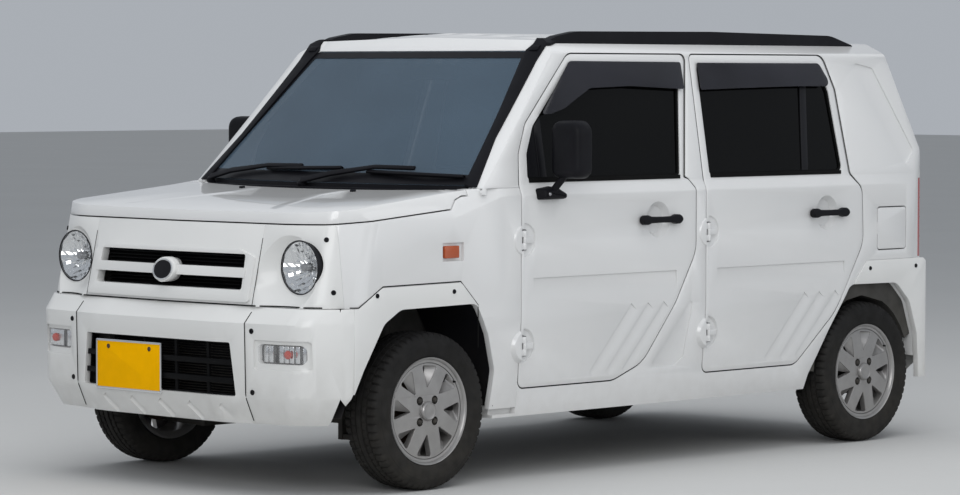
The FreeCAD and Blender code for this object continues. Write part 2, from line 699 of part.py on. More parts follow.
def make_nose_panels():
    """Grille panel and the two headlamp panels, from the nose's shell below the bonnet."""
    zone = nose_shell.common(box(-FAR, FAR, -FAR, NOSE_SIDE_SEAM_Y, NOSE_FOOT_Z + 2.5, FAR))
    zone = zone.cut(bonnet_room())
    grille = zone.common(box(-NOSE_SEAM_X + TRIM_GAP / 2, NOSE_SEAM_X - TRIM_GAP / 2, -FAR, 0, 0, FAR))
    frame_outline = both_halves([(330.0, 812.0, 8.0), (404.0, 790.0, 12.0), (408.0, 640.0, 12.0)])
    rim = nose_block(-RIM_PROUD).cut(nose_block(SHELL)).common(prism_y(frame_outline, -FAR, -1500.0))
    mouth_half = [(GRILLE_HALF - 6.0, GRILLE_HIGH, 10.0), (GRILLE_HALF, GRILLE_LOW, 10.0)]
    mouth = prism_y(both_halves(mouth_half), -FAR, -1500.0)
    bar = nose_block(-BAR_PROUD).cut(nose_block(0.0)).common(
        box(-GRILLE_HALF - 8.0, GRILLE_HALF + 8.0, -FAR, 0.0, BAR_LOW, BAR_HIGH))
    boss = nose_block(-BOSS_PROUD).cut(nose_block(SHELL)).common(
        rod((0.0, -1800.0, 733.0), (0.0, -1500.0, 733.0), BOSS_R))
    grille = grille.fuse(rim).cut(mouth).fuse(bar).fuse(boss)
    lamp = zone.common(box(NOSE_SEAM_X + TRIM_GAP / 2, FAR, -FAR, 0, 0, FAR))
    mouth_r = LAMP_R + BOWL_LIP
    front = V(LAMP_X, LAMP_RIM_Y - BOWL_DEPTH, LAMP_Z)
    bowl = Part.makeCone(mouth_r + BOWL_SPREAD, mouth_r, BOWL_DEPTH, front, V(0, 1, 0))
    wall_r = mouth_r + BOWL_WALL
    pot = Part.makeCone(wall_r + BOWL_SPREAD, wall_r, BOWL_DEPTH + 6.0, front, V(0, 1, 0))
    pot = pot.common(nose_block(SHELL - 2.0)).cut(bonnet_room())
    pot = pot.common(box(NOSE_SEAM_X + 1.0, FAR, -FAR, NOSE_SIDE_SEAM_Y, NOSE_FOOT_Z + 2.5, FAR))
    lamp = lamp.fuse(pot).cut(bowl)
    return grille, lamp.cut(rod((LAMP_X, -1800.0, LAMP_Z), (LAMP_X, -1400.0, LAMP_Z), LAMP_R))


def make_headlamp():
    """Round lamp: a tapered pot behind a domed lens."""
    r = LAMP_R - SEAT_GAP
    axis = V(0, 1, 0)
    rim = Part.makeCylinder(r, 14.0, V(LAMP_X, LAMP_RIM_Y, LAMP_Z), axis)
    pot = Part.makeCone(r, 32.0, LAMP_DEPTH - 14.0, V(LAMP_X, LAMP_RIM_Y + 14.0, LAMP_Z), axis)
    ball_r = (r * r + LENS_RISE * LENS_RISE) / (2 * LENS_RISE)
    ball = Part.makeSphere(ball_r, V(LAMP_X, LAMP_RIM_Y - LENS_RISE + ball_r, LAMP_Z))
    front = V(LAMP_X, LAMP_RIM_Y - 2 * LENS_RISE, LAMP_Z)
    lens = ball.common(Part.makeCylinder(r, 2 * LENS_RISE, front, axis))
    return fuse_all([rim, pot, lens])


FENDER_TOP_REAR_Z = 1005.0
FENDER_TOP_X = SIDE_X - 60.0
FENDER_FOOT_Z = 252.0
REPEATER_Y = (-1053.0, -984.0)
REPEATER_Z = (776.0, 818.0)


def make_fender():
    seam_y = NOSE_SIDE_SEAM_Y + TRIM_GAP
    shell = nose_shell.common(box(0, FAR, seam_y, FENDER_REAR_Y, FENDER_FOOT_Z, FENDER_TOP_REAR_Z))
    shell = shell.cut(bonnet_room())
    cowl_y = BONNET_REAR_Y + SHUT_GAP
    shell = shell.cut(rear_bow(cowl_y, BONNET_REAR_BOW, 0.0, COWL_HALF + SEAT_GAP, 900.0, 1200.0))
    trim = prism_x(grown(CORNER_TRIM_FRONT, TRIM_GAP), 0, FAR)
    shell = shell.cut(trim.common(box(0, FAR, -FAR, -880.0, 0, FAR)))
    shell = shell.cut(prism_x(arch_front, 0, FAR))
    shell = shell.common(box(SIDE_X - 120.0, FAR, -FAR, FAR, 0, FAR))
    shell = shell.cut(box(0.0, FENDER_TOP_X + SEAT_GAP, NOSE_CUT_Y - TRIM_GAP, 0.0, BULKHEAD_TOP - 60.0, FAR))
    shell = shell.cut(box(0.0, FAR, NOSE_CUT_Y, 0.0, 0.0, FAR).cut(cabin_outer))
    repeater = box(SIDE_X - 10.0, FAR, REPEATER_Y[0] - 8.0, REPEATER_Y[1] + 25.0, REPEATER_Z[0] - 10.0,
                   REPEATER_Z[1] + 10.0)
    return shell.cut(repeater)


# Body side: sill, pillars, cant rail, rear quarter and rear wheel housing in one
ROOF_SEAM_X = 520.0
HOUSING_X = 540.0
HOUSING_R = 296.0
HOUSING_WALL = 12.0
TAIL_TOP_Z = 1488.0
TAIL_FRONT_Y = 1396.0
TAILGATE_OUTLINE_HALF = [
    # x, z, corner radius
    (520.0, TAIL_TOP_Z, 30.0),
    (632.0, 1010.0, 60.0),
    (640.0, 660.0, 40.0),
]
SCREEN_HOLE = both_halves([(520.0, 1462.0, 25.0), (660.0, 1016.0, 10.0), (655.0, 900.0, 0.0)])
FUEL_LID = (1304.0, 1476.0, 731.0, 888.0)
FUEL_POCKET = 34.0
FUEL_LID_THICKNESS = 10.0


def tailgate_prism(amount):
    outline = both_halves(TAILGATE_OUTLINE_HALF)
    return prism_y(grown(outline, amount), TAIL_FRONT_Y - amount, REAR_Y + 100.0)


REAR_PANEL_PRESSING = [
    # y, z, corner radius
    (1242.0, 1442.0, 15.0),
    (1372.0, 1419.0, 15.0),
    (1562.0, 1104.0, 15.0),
    (1498.0, 1047.0, 15.0),
]
SILL_PRESSING = [
    (211.0, 584.0, 8.0),
    (22.0, 364.0, 8.0),
    (27.0, 349.0, 5.0),
    (144.0, 351.0, 15.0),
    (190.0, 380.0, 20.0),
    (225.0, 574.0, 6.0),
]
PRESSING_DEPTH = 4.0


def make_body_side():
    side = cabin_shell.common(box(ROOF_SEAM_X, FAR, -FAR, FAR, 0.0, FAR))
    side = side.cut(prism_y(SCREEN_HOLE, -FAR, -330.0))
    side = side.cut(tailgate_prism(SHUT_GAP))
    side = side.cut(door_opening(FRONT_DOOR)).cut(door_opening(REAR_DOOR))
    under_fender = nose_block(-10.0).cut(nose_block(SHELL + SEAT_GAP))
    side = side.cut(under_fender.common(box(FENDER_TOP_X, FAR, -FAR, FENDER_REAR_Y + TRIM_GAP, 0.0,
                                            FENDER_TOP_REAR_Z + TRIM_GAP)))
    side = side.cut(box(0.0, FAR, -FAR, AXLE_F + 318.0, 0.0, 985.0))
    side = side.cut(prism_x(arch_rear, 0.0, FAR))
    outer_end = (SIDE_X - 60.0, AXLE_R, AXLE_Z)
    side = side.cut(rod((HOUSING_X + HOUSING_WALL, AXLE_R, AXLE_Z), outer_end, HOUSING_R))
    housing = rod((HOUSING_X, AXLE_R, AXLE_Z), outer_end, HOUSING_R + HOUSING_WALL)
    housing = housing.cut(rod((HOUSING_X + HOUSING_WALL, AXLE_R, AXLE_Z), (FAR, AXLE_R, AXLE_Z), HOUSING_R))
    housing = housing.common(box(0, FAR, -FAR, FAR, FLOOR_Z + 60.0, FAR))
    side = side.fuse(housing)
    side = side.cut(prism_x(grown(CORNER_TRIM_REAR, TRIM_GAP), SIDE_X - 20.0, FAR))
    side = side.cut(bumper_block(REAR_BUMPER_PLANS, -TRIM_GAP).common(box(0, FAR, 1560.0, FAR, 0, 638.0)))
    side = side.cut(box(0.0, FAR, AXLE_R + 300.0, FAR, 0.0, 312.0))
    for z, low_y in zip(HINGE_Z, (212.0, 250.0)):
        side = side.fuse(hinge_dome(REAR_HINGE_Y, z, low_y, REAR_DOOR[0][0] - SHUT_GAP))
    for panel in (REAR_PANEL_PRESSING, SILL_PRESSING):
        side = side.cut(prism_x(panel, 0.0, FAR).common(layer(PRESSING_DEPTH, -10.0)))
    for room in front_room + rear_room:
        side = side.cut(room)
    for piece in rear_fixed:
        side = side.fuse(piece)
    y0, y1, z0, z1 = FUEL_LID
    pocket = prism_x([(y0 - SHUT_GAP, z0 - SHUT_GAP, 15), (y0 - SHUT_GAP, z1 + SHUT_GAP, 15),
                      (y1 + SHUT_GAP, z1 + SHUT_GAP, 15), (y1 + SHUT_GAP, z0 - SHUT_GAP, 15)],
                     SIDE_X - FUEL_POCKET, FAR)
    side_with_pocket = side.cut(pocket)
    for piece in fuel_hinge_fixed():
        side_with_pocket = side_with_pocket.fuse(piece)
    return side, side_with_pocket


front_fixed, front_moving, front_room = hinge_set(FRONT_HINGE_Y)
rear_fixed, rear_moving, rear_room = hinge_set(REAR_HINGE_Y)
FUEL_HINGE_Y = FUEL_LID[0] - 2.5
FUEL_HINGE_R = 2.2
FUEL_HINGE_Z = (FUEL_LID[2] + FUEL_LID[3]) / 2
FUEL_HINGE_HALF = 12.0


def make_fuel_lid():
    """Lid and its middle hinge knuckle."""
    y0, y1, z0, z1 = FUEL_LID
    outline = [(y0, z0, 12), (y0, z1, 12), (y1, z1, 12), (y1, z0, 12)]
    lid = prism_x(outline, SIDE_X - FUEL_LID_THICKNESS, SIDE_X)
    low, high = FUEL_HINGE_Z - FUEL_HINGE_HALF, FUEL_HINGE_Z + FUEL_HINGE_HALF
    knuckle = rod((SIDE_X, FUEL_HINGE_Y, low), (SIDE_X, FUEL_HINGE_Y, high), FUEL_HINGE_R)
    arm = box(SIDE_X - 5.0, SIDE_X, FUEL_HINGE_Y, y0 + 6.0, low, high)
    return fuse_all([lid, knuckle, arm])


def fuel_hinge_fixed():
    """Two outer knuckles of the fuel lid's hinge, on the pocket's front edge."""
    pieces = []
    for sign in (-1, 1):
        near = FUEL_HINGE_Z + sign * (FUEL_HINGE_HALF + HINGE_GAP)
        low, high = sorted((near, near + sign * 10.0))
        knuckle = rod((SIDE_X, FUEL_HINGE_Y, low), (SIDE_X, FUEL_HINGE_Y, high), FUEL_HINGE_R)
        foot = box(SIDE_X - 5.0, SIDE_X, FUEL_LID[0] - SHUT_GAP - 2.0, FUEL_HINGE_Y, low, high)
        pieces.append(knuckle.fuse(foot))
    return pieces


def with_hinges(door, hinge_y, room, moving):
    for space in room + [hinge_dish(hinge_y, z) for z in HINGE_Z]:
        door = door.cut(space)
    for piece in moving:
        door = door.fuse(piece)
    return door


# Roof
BEAD_X = (0.0, 140.0, 280.0, 420.0)
BEAD_WIDTH = 46.0
BEAD_DEPTH = 5.0
BEAD_Y = (-300.0, 1320.0)
TAIL_HINGE_Y = REAR_Y - 249.5
TAIL_HINGE_Z = ROOF_Z - 5.0
TAIL_HINGE_X = (320.0, 360.0)
TAIL_PIN_R = 6.0
TAIL_KNUCKLE = 14.0


def tail_hinge(moving):
    """Left top hinge of the tailgate: the gate's arm, or the roof's two knuckles."""
    x0, x1 = TAIL_HINGE_X
    inner = (x0 + TAIL_KNUCKLE, x1 - TAIL_KNUCKLE)
    spans = [inner] if moving else [(x0, inner[0] - HINGE_GAP), (inner[1] + HINGE_GAP, x1)]
    pieces = []
    for a, b in spans:
        knuckle = rod((a, TAIL_HINGE_Y, TAIL_HINGE_Z), (b, TAIL_HINGE_Y, TAIL_HINGE_Z), TAIL_PIN_R)
        if moving:
            arm = prism_x([(TAIL_HINGE_Y + 1.0, TAIL_HINGE_Z + 5.0), (TAIL_HINGE_Y + 6.0, TAIL_HINGE_Z),
                           (TAIL_HINGE_Y + 20.0, TAIL_TOP_Z - 33.0), (TAIL_HINGE_Y + 5.0, TAIL_TOP_Z - 33.0),
                           (TAIL_HINGE_Y + 2.5, TAIL_HINGE_Z - 6.0)], a, b)
        else:
            arm = box(a, b, TAIL_HINGE_Y - 40.0, TAIL_HINGE_Y, TAIL_HINGE_Z - 8.0, TAIL_HINGE_Z + 3.0)
        pieces.append(knuckle.fuse(arm))
    return pieces


def make_roof():
    roof = cabin_shell.common(box(-ROOF_SEAM_X, ROOF_SEAM_X, -FAR, FAR, 1380.0, FAR))
    roof = roof.cut(prism_y(SCREEN_HOLE, -FAR, -330.0)).cut(tailgate_prism(SHUT_GAP + 1.0))
    for piece in tail_hinge(False):
        roof = roof.fuse(piece).fuse(mirrored(piece))
    for x in BEAD_X:
        for sign in ((1,) if x == 0 else (1, -1)):
            low = ROOF_Z - 13.0 * abs(x) / ROOF_EDGE_X - BEAD_DEPTH
            left, right = sign * x - BEAD_WIDTH / 2, sign * x + BEAD_WIDTH / 2
            front, back = BEAD_Y
            outline = [(left, front, 20.0), (right, front, 20.0), (right, back, 20.0), (left, back, 20.0)]
            roof = roof.cut(prism_z(outline, low, FAR))
    return roof


# Windscreen and cowl
SCREEN_THICKNESS = 6.0


def make_windscreen():
    glass = screen_block(2.0, 2.0 + SCREEN_THICKNESS, SCREEN_FOOT[3], 1500.0, 1.0)
    outline = both_halves([(534.0, 1474.0, 30.0), (676.0, 1014.0, 12.0)])
    return glass.common(prism_y(outline, -FAR, -300.0))


def make_screen_rebate():
    rebate = screen_block(-60.0, 2.0 + SCREEN_THICKNESS + SEAT_GAP, 1000.0, 1520.0, 1.0)
    outline = both_halves([(536.0, 1476.0, 30.0), (678.0, 1012.0, 12.0), (678.0, 1000.0, 0.0)])
    return rebate.common(prism_y(outline, -FAR, -300.0))


COWL_Z = SCREEN_FOOT[3] - SEAT_GAP
COWL_HALF = 654.0
COWL_REAR_Y = -830.0
BULKHEAD_TOP = 985.0
BONNET_HINGE_Y = BONNET_REAR_Y + 6.0
BONNET_HINGE_Z = BONNET_REAR_Z - 6.0
BONNET_HINGE_X = (580.0, 640.0)
BONNET_PIN_R = 5.0


def bonnet_hinge(moving):
    """Left hinge of the bonnet: the bonnet's middle knuckle, or the cowl's two."""
    x0, x1 = BONNET_HINGE_X
    third = (x1 - x0) / 3
    inner = (x0 + third, x1 - third)
    spans = [inner] if moving else [(x0, inner[0] - HINGE_GAP), (inner[1] + HINGE_GAP, x1)]
    pieces = []
    for a, b in spans:
        knuckle = rod((a, BONNET_HINGE_Y, BONNET_HINGE_Z), (b, BONNET_HINGE_Y, BONNET_HINGE_Z), BONNET_PIN_R)
        y0 = BONNET_HINGE_Y - 34.0 if moving else BONNET_HINGE_Y
        y1 = BONNET_HINGE_Y if moving else BONNET_HINGE_Y + 16.0
        pieces.append(knuckle.fuse(box(a, b, y0, y1, BONNET_HINGE_Z - 4.5, BONNET_HINGE_Z + 3.5)))
    return pieces


def make_cowl():
    """Black panel between the bonnet and the windscreen, which stands on its rear step."""
    front_y = BONNET_REAR_Y + SHUT_GAP
    top = BONNET_REAR_Z - 2.0
    tray = rear_bow(front_y, BONNET_REAR_BOW, COWL_REAR_Y, COWL_HALF, BULKHEAD_TOP, top)
    step = rear_bow(SCREEN_FOOT[1] - 8.0, SCREEN_FOOT[2], COWL_REAR_Y, COWL_HALF, BULKHEAD_TOP, COWL_Z)
    x0, x1 = BONNET_HINGE_X
    room = box(x0 - 2.0, x1 + 2.0, -FAR, BONNET_HINGE_Y + BONNET_PIN_R + 3.0, 0.0, FAR)
    cowl = tray.fuse(step).cut(room).cut(mirrored(room))
    for piece in bonnet_hinge(False):
        cowl = cowl.fuse(piece).fuse(mirrored(piece))
    return cowl.removeSplitter()


# Structure below
HOUSE_INNER_X = 415.0
BULKHEAD_PLAN_HALF = [(SIDE_X - 110.0, AXLE_F + 320.0), (440.0, AXLE_F + 320.0, 30.0), (390.0, -850.0, 30.0)]


def make_engine_bay():
    front = BULKHEAD_PLAN_HALF
    back = [(x, y + 20.0) + tuple(rest) for x, y, *rest in front]
    outline = front + [(-p[0],) + tuple(p[1:]) for p in reversed(front)]
    outline += [(-p[0],) + tuple(p[1:]) for p in back] + list(reversed(back))
    wall = prism_z(outline, FLOOR_Z, BULKHEAD_TOP)
    apron = box(HOUSE_INNER_X - 20.0, HOUSE_INNER_X, -1500.0, -835.0, 460.0, 880.0)
    rail = box(330.0, 390.0, -1560.0, -835.0, 380.0, 460.0)
    rail = rail.fuse(box(330.0, HOUSE_INNER_X, -1560.0, -835.0, 440.0, 460.0))
    tower = box(HOUSE_INNER_X - 20.0, 600.0, -1190.0, -1026.0, 862.0, 880.0)
    side = fuse_all([apron, rail, tower])
    front_bar = box(-560.0, 560.0, -1540.0, -1500.0, 840.0, 880.0)
    low_bar = box(-540.0, 540.0, -1560.0, -1520.0, 300.0, 380.0)
    stay = box(330.0, 390.0, -1560.0, -1520.0, 380.0, 400.0)
    upright = box(396.0, 436.0, -1540.0, -1500.0, 460.0, 840.0)
    beam = box(-520.0, 520.0, -1640.0, -1600.0, 522.0, 558.0)
    horn = box(330.0, 390.0, -1610.0, -1560.0, 440.0, 558.0)
    pads = [box(x - 40.0, x + 40.0, -FAR, -1640.0, 526.0, 554.0) for x in (-470.0, -220.0, 220.0, 470.0)]
    space = bumper_block(FRONT_BUMPER_PLANS, SHELL + SEAT_GAP)
    return fuse_all([wall, side, mirrored(side), front_bar, low_bar, upright, mirrored(upright), stay,
                     mirrored(stay), beam, horn, mirrored(horn)] + [pad.common(space) for pad in pads])


TOE_Y = AXLE_F + 340.0
LOAD_FLOOR_Z = 410.0


def make_floor():
    toe = TOE_Y
    end = REAR_Y - 42.0 - REAR_DEPTH - 1.0
    upper = FLOOR_Z + FLOOR_THICKNESS
    top = [(toe, FLOOR_Z + 250.0), (toe + 60.0, FLOOR_Z + 250.0), (toe + 180.0, upper, 40.0), (860.0, upper, 30.0),
           (920.0, LOAD_FLOOR_Z, 30.0), (end, LOAD_FLOOR_Z)]
    bottom = [(end, 380.0), (940.0, 380.0, 30.0), (880.0, FLOOR_Z, 30.0), (toe + 150.0, FLOOR_Z, 30.0),
              (toe + 40.0, FLOOR_Z + 180.0, 20.0), (toe, FLOOR_Z + 180.0)]
    pan = prism_x(top + bottom, -SIDE_X + DOOR_DEPTH, SIDE_X - DOOR_DEPTH)
    beside_doors = box(SIDE_X - DOOR_DEPTH - SHUT_GAP - 1.0, FAR, -700.0, AXLE_R, FLOOR_Z + 60.0, FAR)
    pan = pan.cut(beside_doors).cut(mirrored(beside_doors))
    for sign in (1, -1):
        start = (sign * (HOUSING_X - 1.0), AXLE_R, AXLE_Z)
        wheel = rod(start, (sign * FAR, AXLE_R, AXLE_Z), HOUSING_R + HOUSING_WALL + SEAT_GAP)
        pan = pan.cut(wheel)
    low = FLOOR_Z + 20.0
    outer = both_halves([(90.0, 350.0, 20.0), (100.0, low, 0.0)])
    inner = both_halves([(70.0, 334.0, 20.0), (80.0, 0.0, 0.0)])
    tunnel = prism_y(outer, toe + 150.0, 900.0)
    hollow = prism_y(inner, -FAR, 870.0)
    return pan.fuse(tunnel).cut(hollow)


# Rear
TAIL_LAMP_Z = (694.0, 996.0)
GATE_SKIN = 24.0
GATE_INNER_INSET = 12.0
TAIL_WINDOW_HALF = [(470.0, 1440.0, 50.0), (545.0, 1045.0, 50.0)]


def make_rear_panel():
    wall = cabin_shell.common(box(-ROOF_SEAM_X, ROOF_SEAM_X, 1560.0, FAR, 332.0, 900.0))
    return wall.cut(tailgate_prism(SHUT_GAP))


def make_tailgate():
    skin = cabin_outer.cut(make_cabin(0.0, 0.0, 0.0, GATE_SKIN, 0.0, SILL_Z))
    gate = cabin_shell.common(tailgate_prism(0.0)).common(skin)
    gate = gate.fuse(cabin_shell.common(tailgate_prism(-GATE_INNER_INSET)))
    window = prism_y(both_halves(TAIL_WINDOW_HALF), 1300.0, FAR)
    rebate = prism_y(grown(both_halves(TAIL_WINDOW_HALF), 12.0), 1300.0, FAR)
    deep = make_cabin(0.0, 0.0, 0.0, 10.0, 0.0, SILL_Z)
    gate = gate.cut(window).cut(rebate.common(deep))
    for piece in tail_hinge(True):
        gate = gate.fuse(piece).fuse(mirrored(piece))
    return gate


def make_tailgate_glass():
    pane = prism_y(grown(both_halves(TAIL_WINDOW_HALF), 11.7), 1300.0, FAR)
    outer = make_cabin(0.0, 0.0, 0.0, 10.0, 0.0, SILL_Z)
    inner = prism_x(cabin_profile(15.0), -FAR, FAR)
    return pane.common(outer.cut(inner))


def tail_lamp_block(amount):
    z0, z1 = TAIL_LAMP_Z
    outline = [(SIDE_X - 75.0 - amount, z0 - amount, 10.0), (SIDE_X + 50.0, z0 - amount, 0.0),
               (SIDE_X + 50.0, z1 + amount, 0.0), (SIDE_X - 75.0 - amount, z1 + amount, 10.0)]
    return prism_y(outline, 1590.0 - amount, FAR)


# Running gear
BEAD_IN = 17.5
WALL_BULGE_UP = 59.0
SHOULDER_IN = 15.5
CAVITY_IN = 33.0
CAVITY_UP = 34.0


TYRE_FLATS = 64


def make_tyre(centre_x):
    """Hollow tyre, its section carried round the wheel's axis in flats, with its beads on the rim's seat."""
    half = TYRE_WIDTH / 2
    tread = TYRE_DIAMETER / 2
    reach = 1.0 / math.cos(math.pi / TYRE_FLATS)
    seat = RIM_SEAT_DIAMETER / 2 * reach
    right = [
        # across, radius: bead, widest place of the wall, tread's edge
        (half - BEAD_IN, seat),
        (half, seat + WALL_BULGE_UP),
        (half - SHOULDER_IN, tread),
    ]
    cavity = [(half - CAVITY_IN, seat + CAVITY_UP), (CAVITY_IN - half, seat + CAVITY_UP)]
    section = right + [(-u, v) for u, v in reversed(right)] + [cavity[1], cavity[0]]
    rings = []
    for i in range(TYRE_FLATS + 1):
        angle = 2 * math.pi * (i % TYRE_FLATS) / TYRE_FLATS
        rings.append([V(centre_x + u, v * math.cos(angle), v * math.sin(angle)) for u, v in section])
    faces = []
    for here, ahead in zip(rings, rings[1:]):
        for k in range(len(section)):
            after = (k + 1) % len(section)
            corners = [here[k], here[after], ahead[after], ahead[k], here[k]]
            faces.append(Part.Face(Part.makePolygon(corners)))
    return Part.Solid(Part.Shell(faces))


SPOKES = 8
LUG_CIRCLE_R = 50.0
HUB_R = 68.0
DISC_OUT = 52.0
DISC_THICKNESS = 14.0


def make_rim(centre_x, out):
    """Wheel with barrel, slanted broad spokes and hub; out is +1 on the left side."""
    seat = RIM_SEAT_DIAMETER / 2
    half = TYRE_WIDTH / 2 - 12.0
    section = [(-half - 4.0, RIM_FLANGE_DIAMETER / 2), (-half, RIM_FLANGE_DIAMETER / 2), (-half, seat),
               (half, seat), (half, RIM_FLANGE_DIAMETER / 2), (half + 4.0, RIM_FLANGE_DIAMETER / 2),
               (half + 4.0, seat - RIM_WALL), (-half - 4.0, seat - RIM_WALL)]
    wire = corner_wire(section, lambda u, v: V(u, 0.0, v))
    barrel = Part.Face(wire).revolve(V(0, 0, 0), V(1, 0, 0), 360)
    disc = rod((DISC_OUT - DISC_THICKNESS, 0, 0), (DISC_OUT, 0, 0), seat - RIM_WALL + 1.0)
    for i in range(SPOKES):
        turn = 360.0 / SPOKES * i
        window = [(0.0 - 24.0, 84.0, 8.0), (-2.0, 84.0, 8.0), (34.0, 136.0, 10.0), (-28.0, 142.0, 12.0)]
        hole = Part.Face(corner_wire(window, lambda u, v: V(0.0, u, v))).extrude(V(100.0, 0, 0))
        hole.rotate(V(0, 0, 0), V(1, 0, 0), turn)
        disc = disc.cut(hole)
    hub = rod((-10.0, 0, 0), (DISC_OUT, 0, 0), 42.0)
    hub = hub.fuse(rod((DISC_OUT - DISC_THICKNESS, 0, 0), (DISC_OUT + 6.0, 0, 0), HUB_R))
    cap = rod((DISC_OUT, 0, 0), (DISC_OUT + 22.0, 0, 0), 29.0)
    wheel = fuse_all([barrel, disc, hub, cap])
    for i in range(4):
        angle = math.radians(45.0 + 90.0 * i)
        y, z = LUG_CIRCLE_R * math.cos(angle), LUG_CIRCLE_R * math.sin(angle)
        wheel = wheel.fuse(rod((DISC_OUT, y, z), (DISC_OUT + 16.0, y, z), 9.5))
    bore = rod((-60.0, 0, 0), (30.0, 0, 0), SPINDLE_DIAMETER / 2 + SPINDLE_CLEARANCE)
    wheel = wheel.cut(bore)
    if out < 0:
        wheel = mirrored(wheel)
    wheel.translate(V(centre_x, 0, 0))
    return wheel


KINGPIN_X = 600.0
KINGPIN_R = 9.0
PIN_GAP = 0.3
STRUT_X = 500.0


def make_knuckle():
    """Left knuckle: two eyes on the kingpin line, an upright and the spindle."""
    lower = rod((KINGPIN_X, AXLE_F, 172.0), (KINGPIN_X, AXLE_F, 192.0), 20.0)
    upper = rod((KINGPIN_X, AXLE_F, 338.0), (KINGPIN_X, AXLE_F, 358.0), 20.0)
    upright = box(KINGPIN_X - 10.0, KINGPIN_X + 10.0, AXLE_F - 44.0, AXLE_F - 24.0, 172.0, 358.0)
    web_low = box(KINGPIN_X - 10.0, KINGPIN_X + 10.0, AXLE_F - 44.0, AXLE_F, 172.0, 192.0)
    web_high = box(KINGPIN_X - 10.0, KINGPIN_X + 10.0, AXLE_F - 44.0, AXLE_F, 338.0, 358.0)
    hub = rod((KINGPIN_X - 10.0, AXLE_F, AXLE_Z), (KINGPIN_X + 30.0, AXLE_F, AXLE_Z), 46.0)
    spindle = rod((KINGPIN_X, AXLE_F, AXLE_Z), (WHEEL_X + 26.0, AXLE_F, AXLE_Z), SPINDLE_DIAMETER / 2)
    arm = box(KINGPIN_X - 10.0, KINGPIN_X + 4.0, AXLE_F - 130.0, AXLE_F - 30.0, AXLE_Z - 50.0, AXLE_Z - 30.0)
    body = fuse_all([lower, upper, upright, web_low, web_high, hub, spindle, arm])
    pin = rod((KINGPIN_X, AXLE_F, 150.0), (KINGPIN_X, AXLE_F, 200.0), KINGPIN_R + PIN_GAP)
    pin_high = rod((KINGPIN_X, AXLE_F, 330.0), (KINGPIN_X, AXLE_F, 380.0), KINGPIN_R + PIN_GAP)
    return body.cut(pin).cut(pin_high)


def make_front_suspension():
    """Subframe, lower arms, struts with their springs and the kingpin studs."""
    frame = box(-360.0, 360.0, AXLE_F - 60.0, AXLE_F + 90.0, 205.0, 262.0)
    post = box(335.0, 385.0, AXLE_F - 40.0, AXLE_F + 60.0, 262.0, 380.0)
    arm_outline = [
        # x, y from the axle, corner radius
        (340.0, -60.0, 0.0),
        (340.0, 90.0, 0.0),
        (KINGPIN_X - 40.0, 18.0, 10.0),
        (KINGPIN_X + 14.0, 14.0, 13.0),
        (KINGPIN_X + 14.0, -14.0, 13.0),
        (KINGPIN_X - 40.0, -18.0, 10.0),
    ]
    arm = prism_z([(x, AXLE_F + dy, r) for x, dy, r in arm_outline], 150.0, 168.0)
    mount = box(340.0, 360.0, AXLE_F - 60.0, AXLE_F + 90.0, 150.0, 206.0)
    stud_low = rod((KINGPIN_X, AXLE_F, 160.0), (KINGPIN_X, AXLE_F, 196.0), KINGPIN_R)
    strut = rod((STRUT_X, AXLE_F, 300.0), (STRUT_X, AXLE_F, 862.0), 24.0)
    spring = rod((STRUT_X, AXLE_F, 600.0), (STRUT_X, AXLE_F, 850.0), 62.0)
    seat = rod((STRUT_X, AXLE_F, 594.0), (STRUT_X, AXLE_F, 600.0), 70.0)
    bracket = box(STRUT_X, KINGPIN_X, AXLE_F - 16.0, AXLE_F + 16.0, 362.0, 378.0)
    bracket = bracket.fuse(rod((KINGPIN_X, AXLE_F, 362.0), (KINGPIN_X, AXLE_F, 378.0), 16.0))
    stud_high = rod((KINGPIN_X, AXLE_F, 334.0), (KINGPIN_X, AXLE_F, 370.0), KINGPIN_R)
    side = fuse_all([post, arm, mount, stud_low, strut, spring, seat, bracket, stud_high])
    return fuse_all([frame, side, mirrored(side)])


def make_rear_axle():
    beam = rod((-HOUSING_X + 20.0, AXLE_R, AXLE_Z), (HOUSING_X - 20.0, AXLE_R, AXLE_Z), 32.0)
    spindle = rod((HOUSING_X - 22.0, AXLE_R, AXLE_Z), (WHEEL_X + 26.0, AXLE_R, AXLE_Z), SPINDLE_DIAMETER / 2)
    drum = rod((560.0, AXLE_R, AXLE_Z), (625.0, AXLE_R, AXLE_Z), 88.0)
    arm = prism_x([(AXLE_R + 20.0, AXLE_Z - 20.0, 10), (AXLE_R + 20.0, AXLE_Z + 20.0, 10), (960.0, 330.0, 8),
                   (960.0, 290.0, 8)], 380.0, 420.0)
    post = box(380.0, 420.0, 962.0, 1000.0, 300.0, 380.0)
    spring = rod((400.0, AXLE_R, AXLE_Z + 20.0), (400.0, AXLE_R, 380.0), 48.0)
    side = fuse_all([spindle, drum, arm, post, spring])
    return fuse_all([beam, side, mirrored(side)])


ENGINE = (-250.0, 250.0, -1430.0, -1010.0, 262.0, 700.0)
TANK = (-290.0, 290.0, 968.0, 1190.0, 300.0, 380.0)


def make_exhaust():
    run = rod((0.0, -1000.0, 225.0), (0.0, 1010.0, 225.0), 22.0)
    hanger = box(-12.0, 12.0, -60.0, -30.0, 240.0, 334.0)
    outline = [(-470.0, 250.0, 50.0), (-150.0, 250.0, 50.0), (-150.0, 360.0, 50.0), (-470.0, 360.0, 50.0)]
    silencer = prism_y(outline, 1380.0, 1570.0)
    silencer = silencer.fuse(box(-330.0, -290.0, 1460.0, 1480.0, 350.0, 380.0 - SEAT_GAP))
    return run.fuse(hanger), silencer


# Cabin furniture
WHEEL_HUB = (-330.0, -330.0, 905.0)
COLUMN_TILT = 26.0


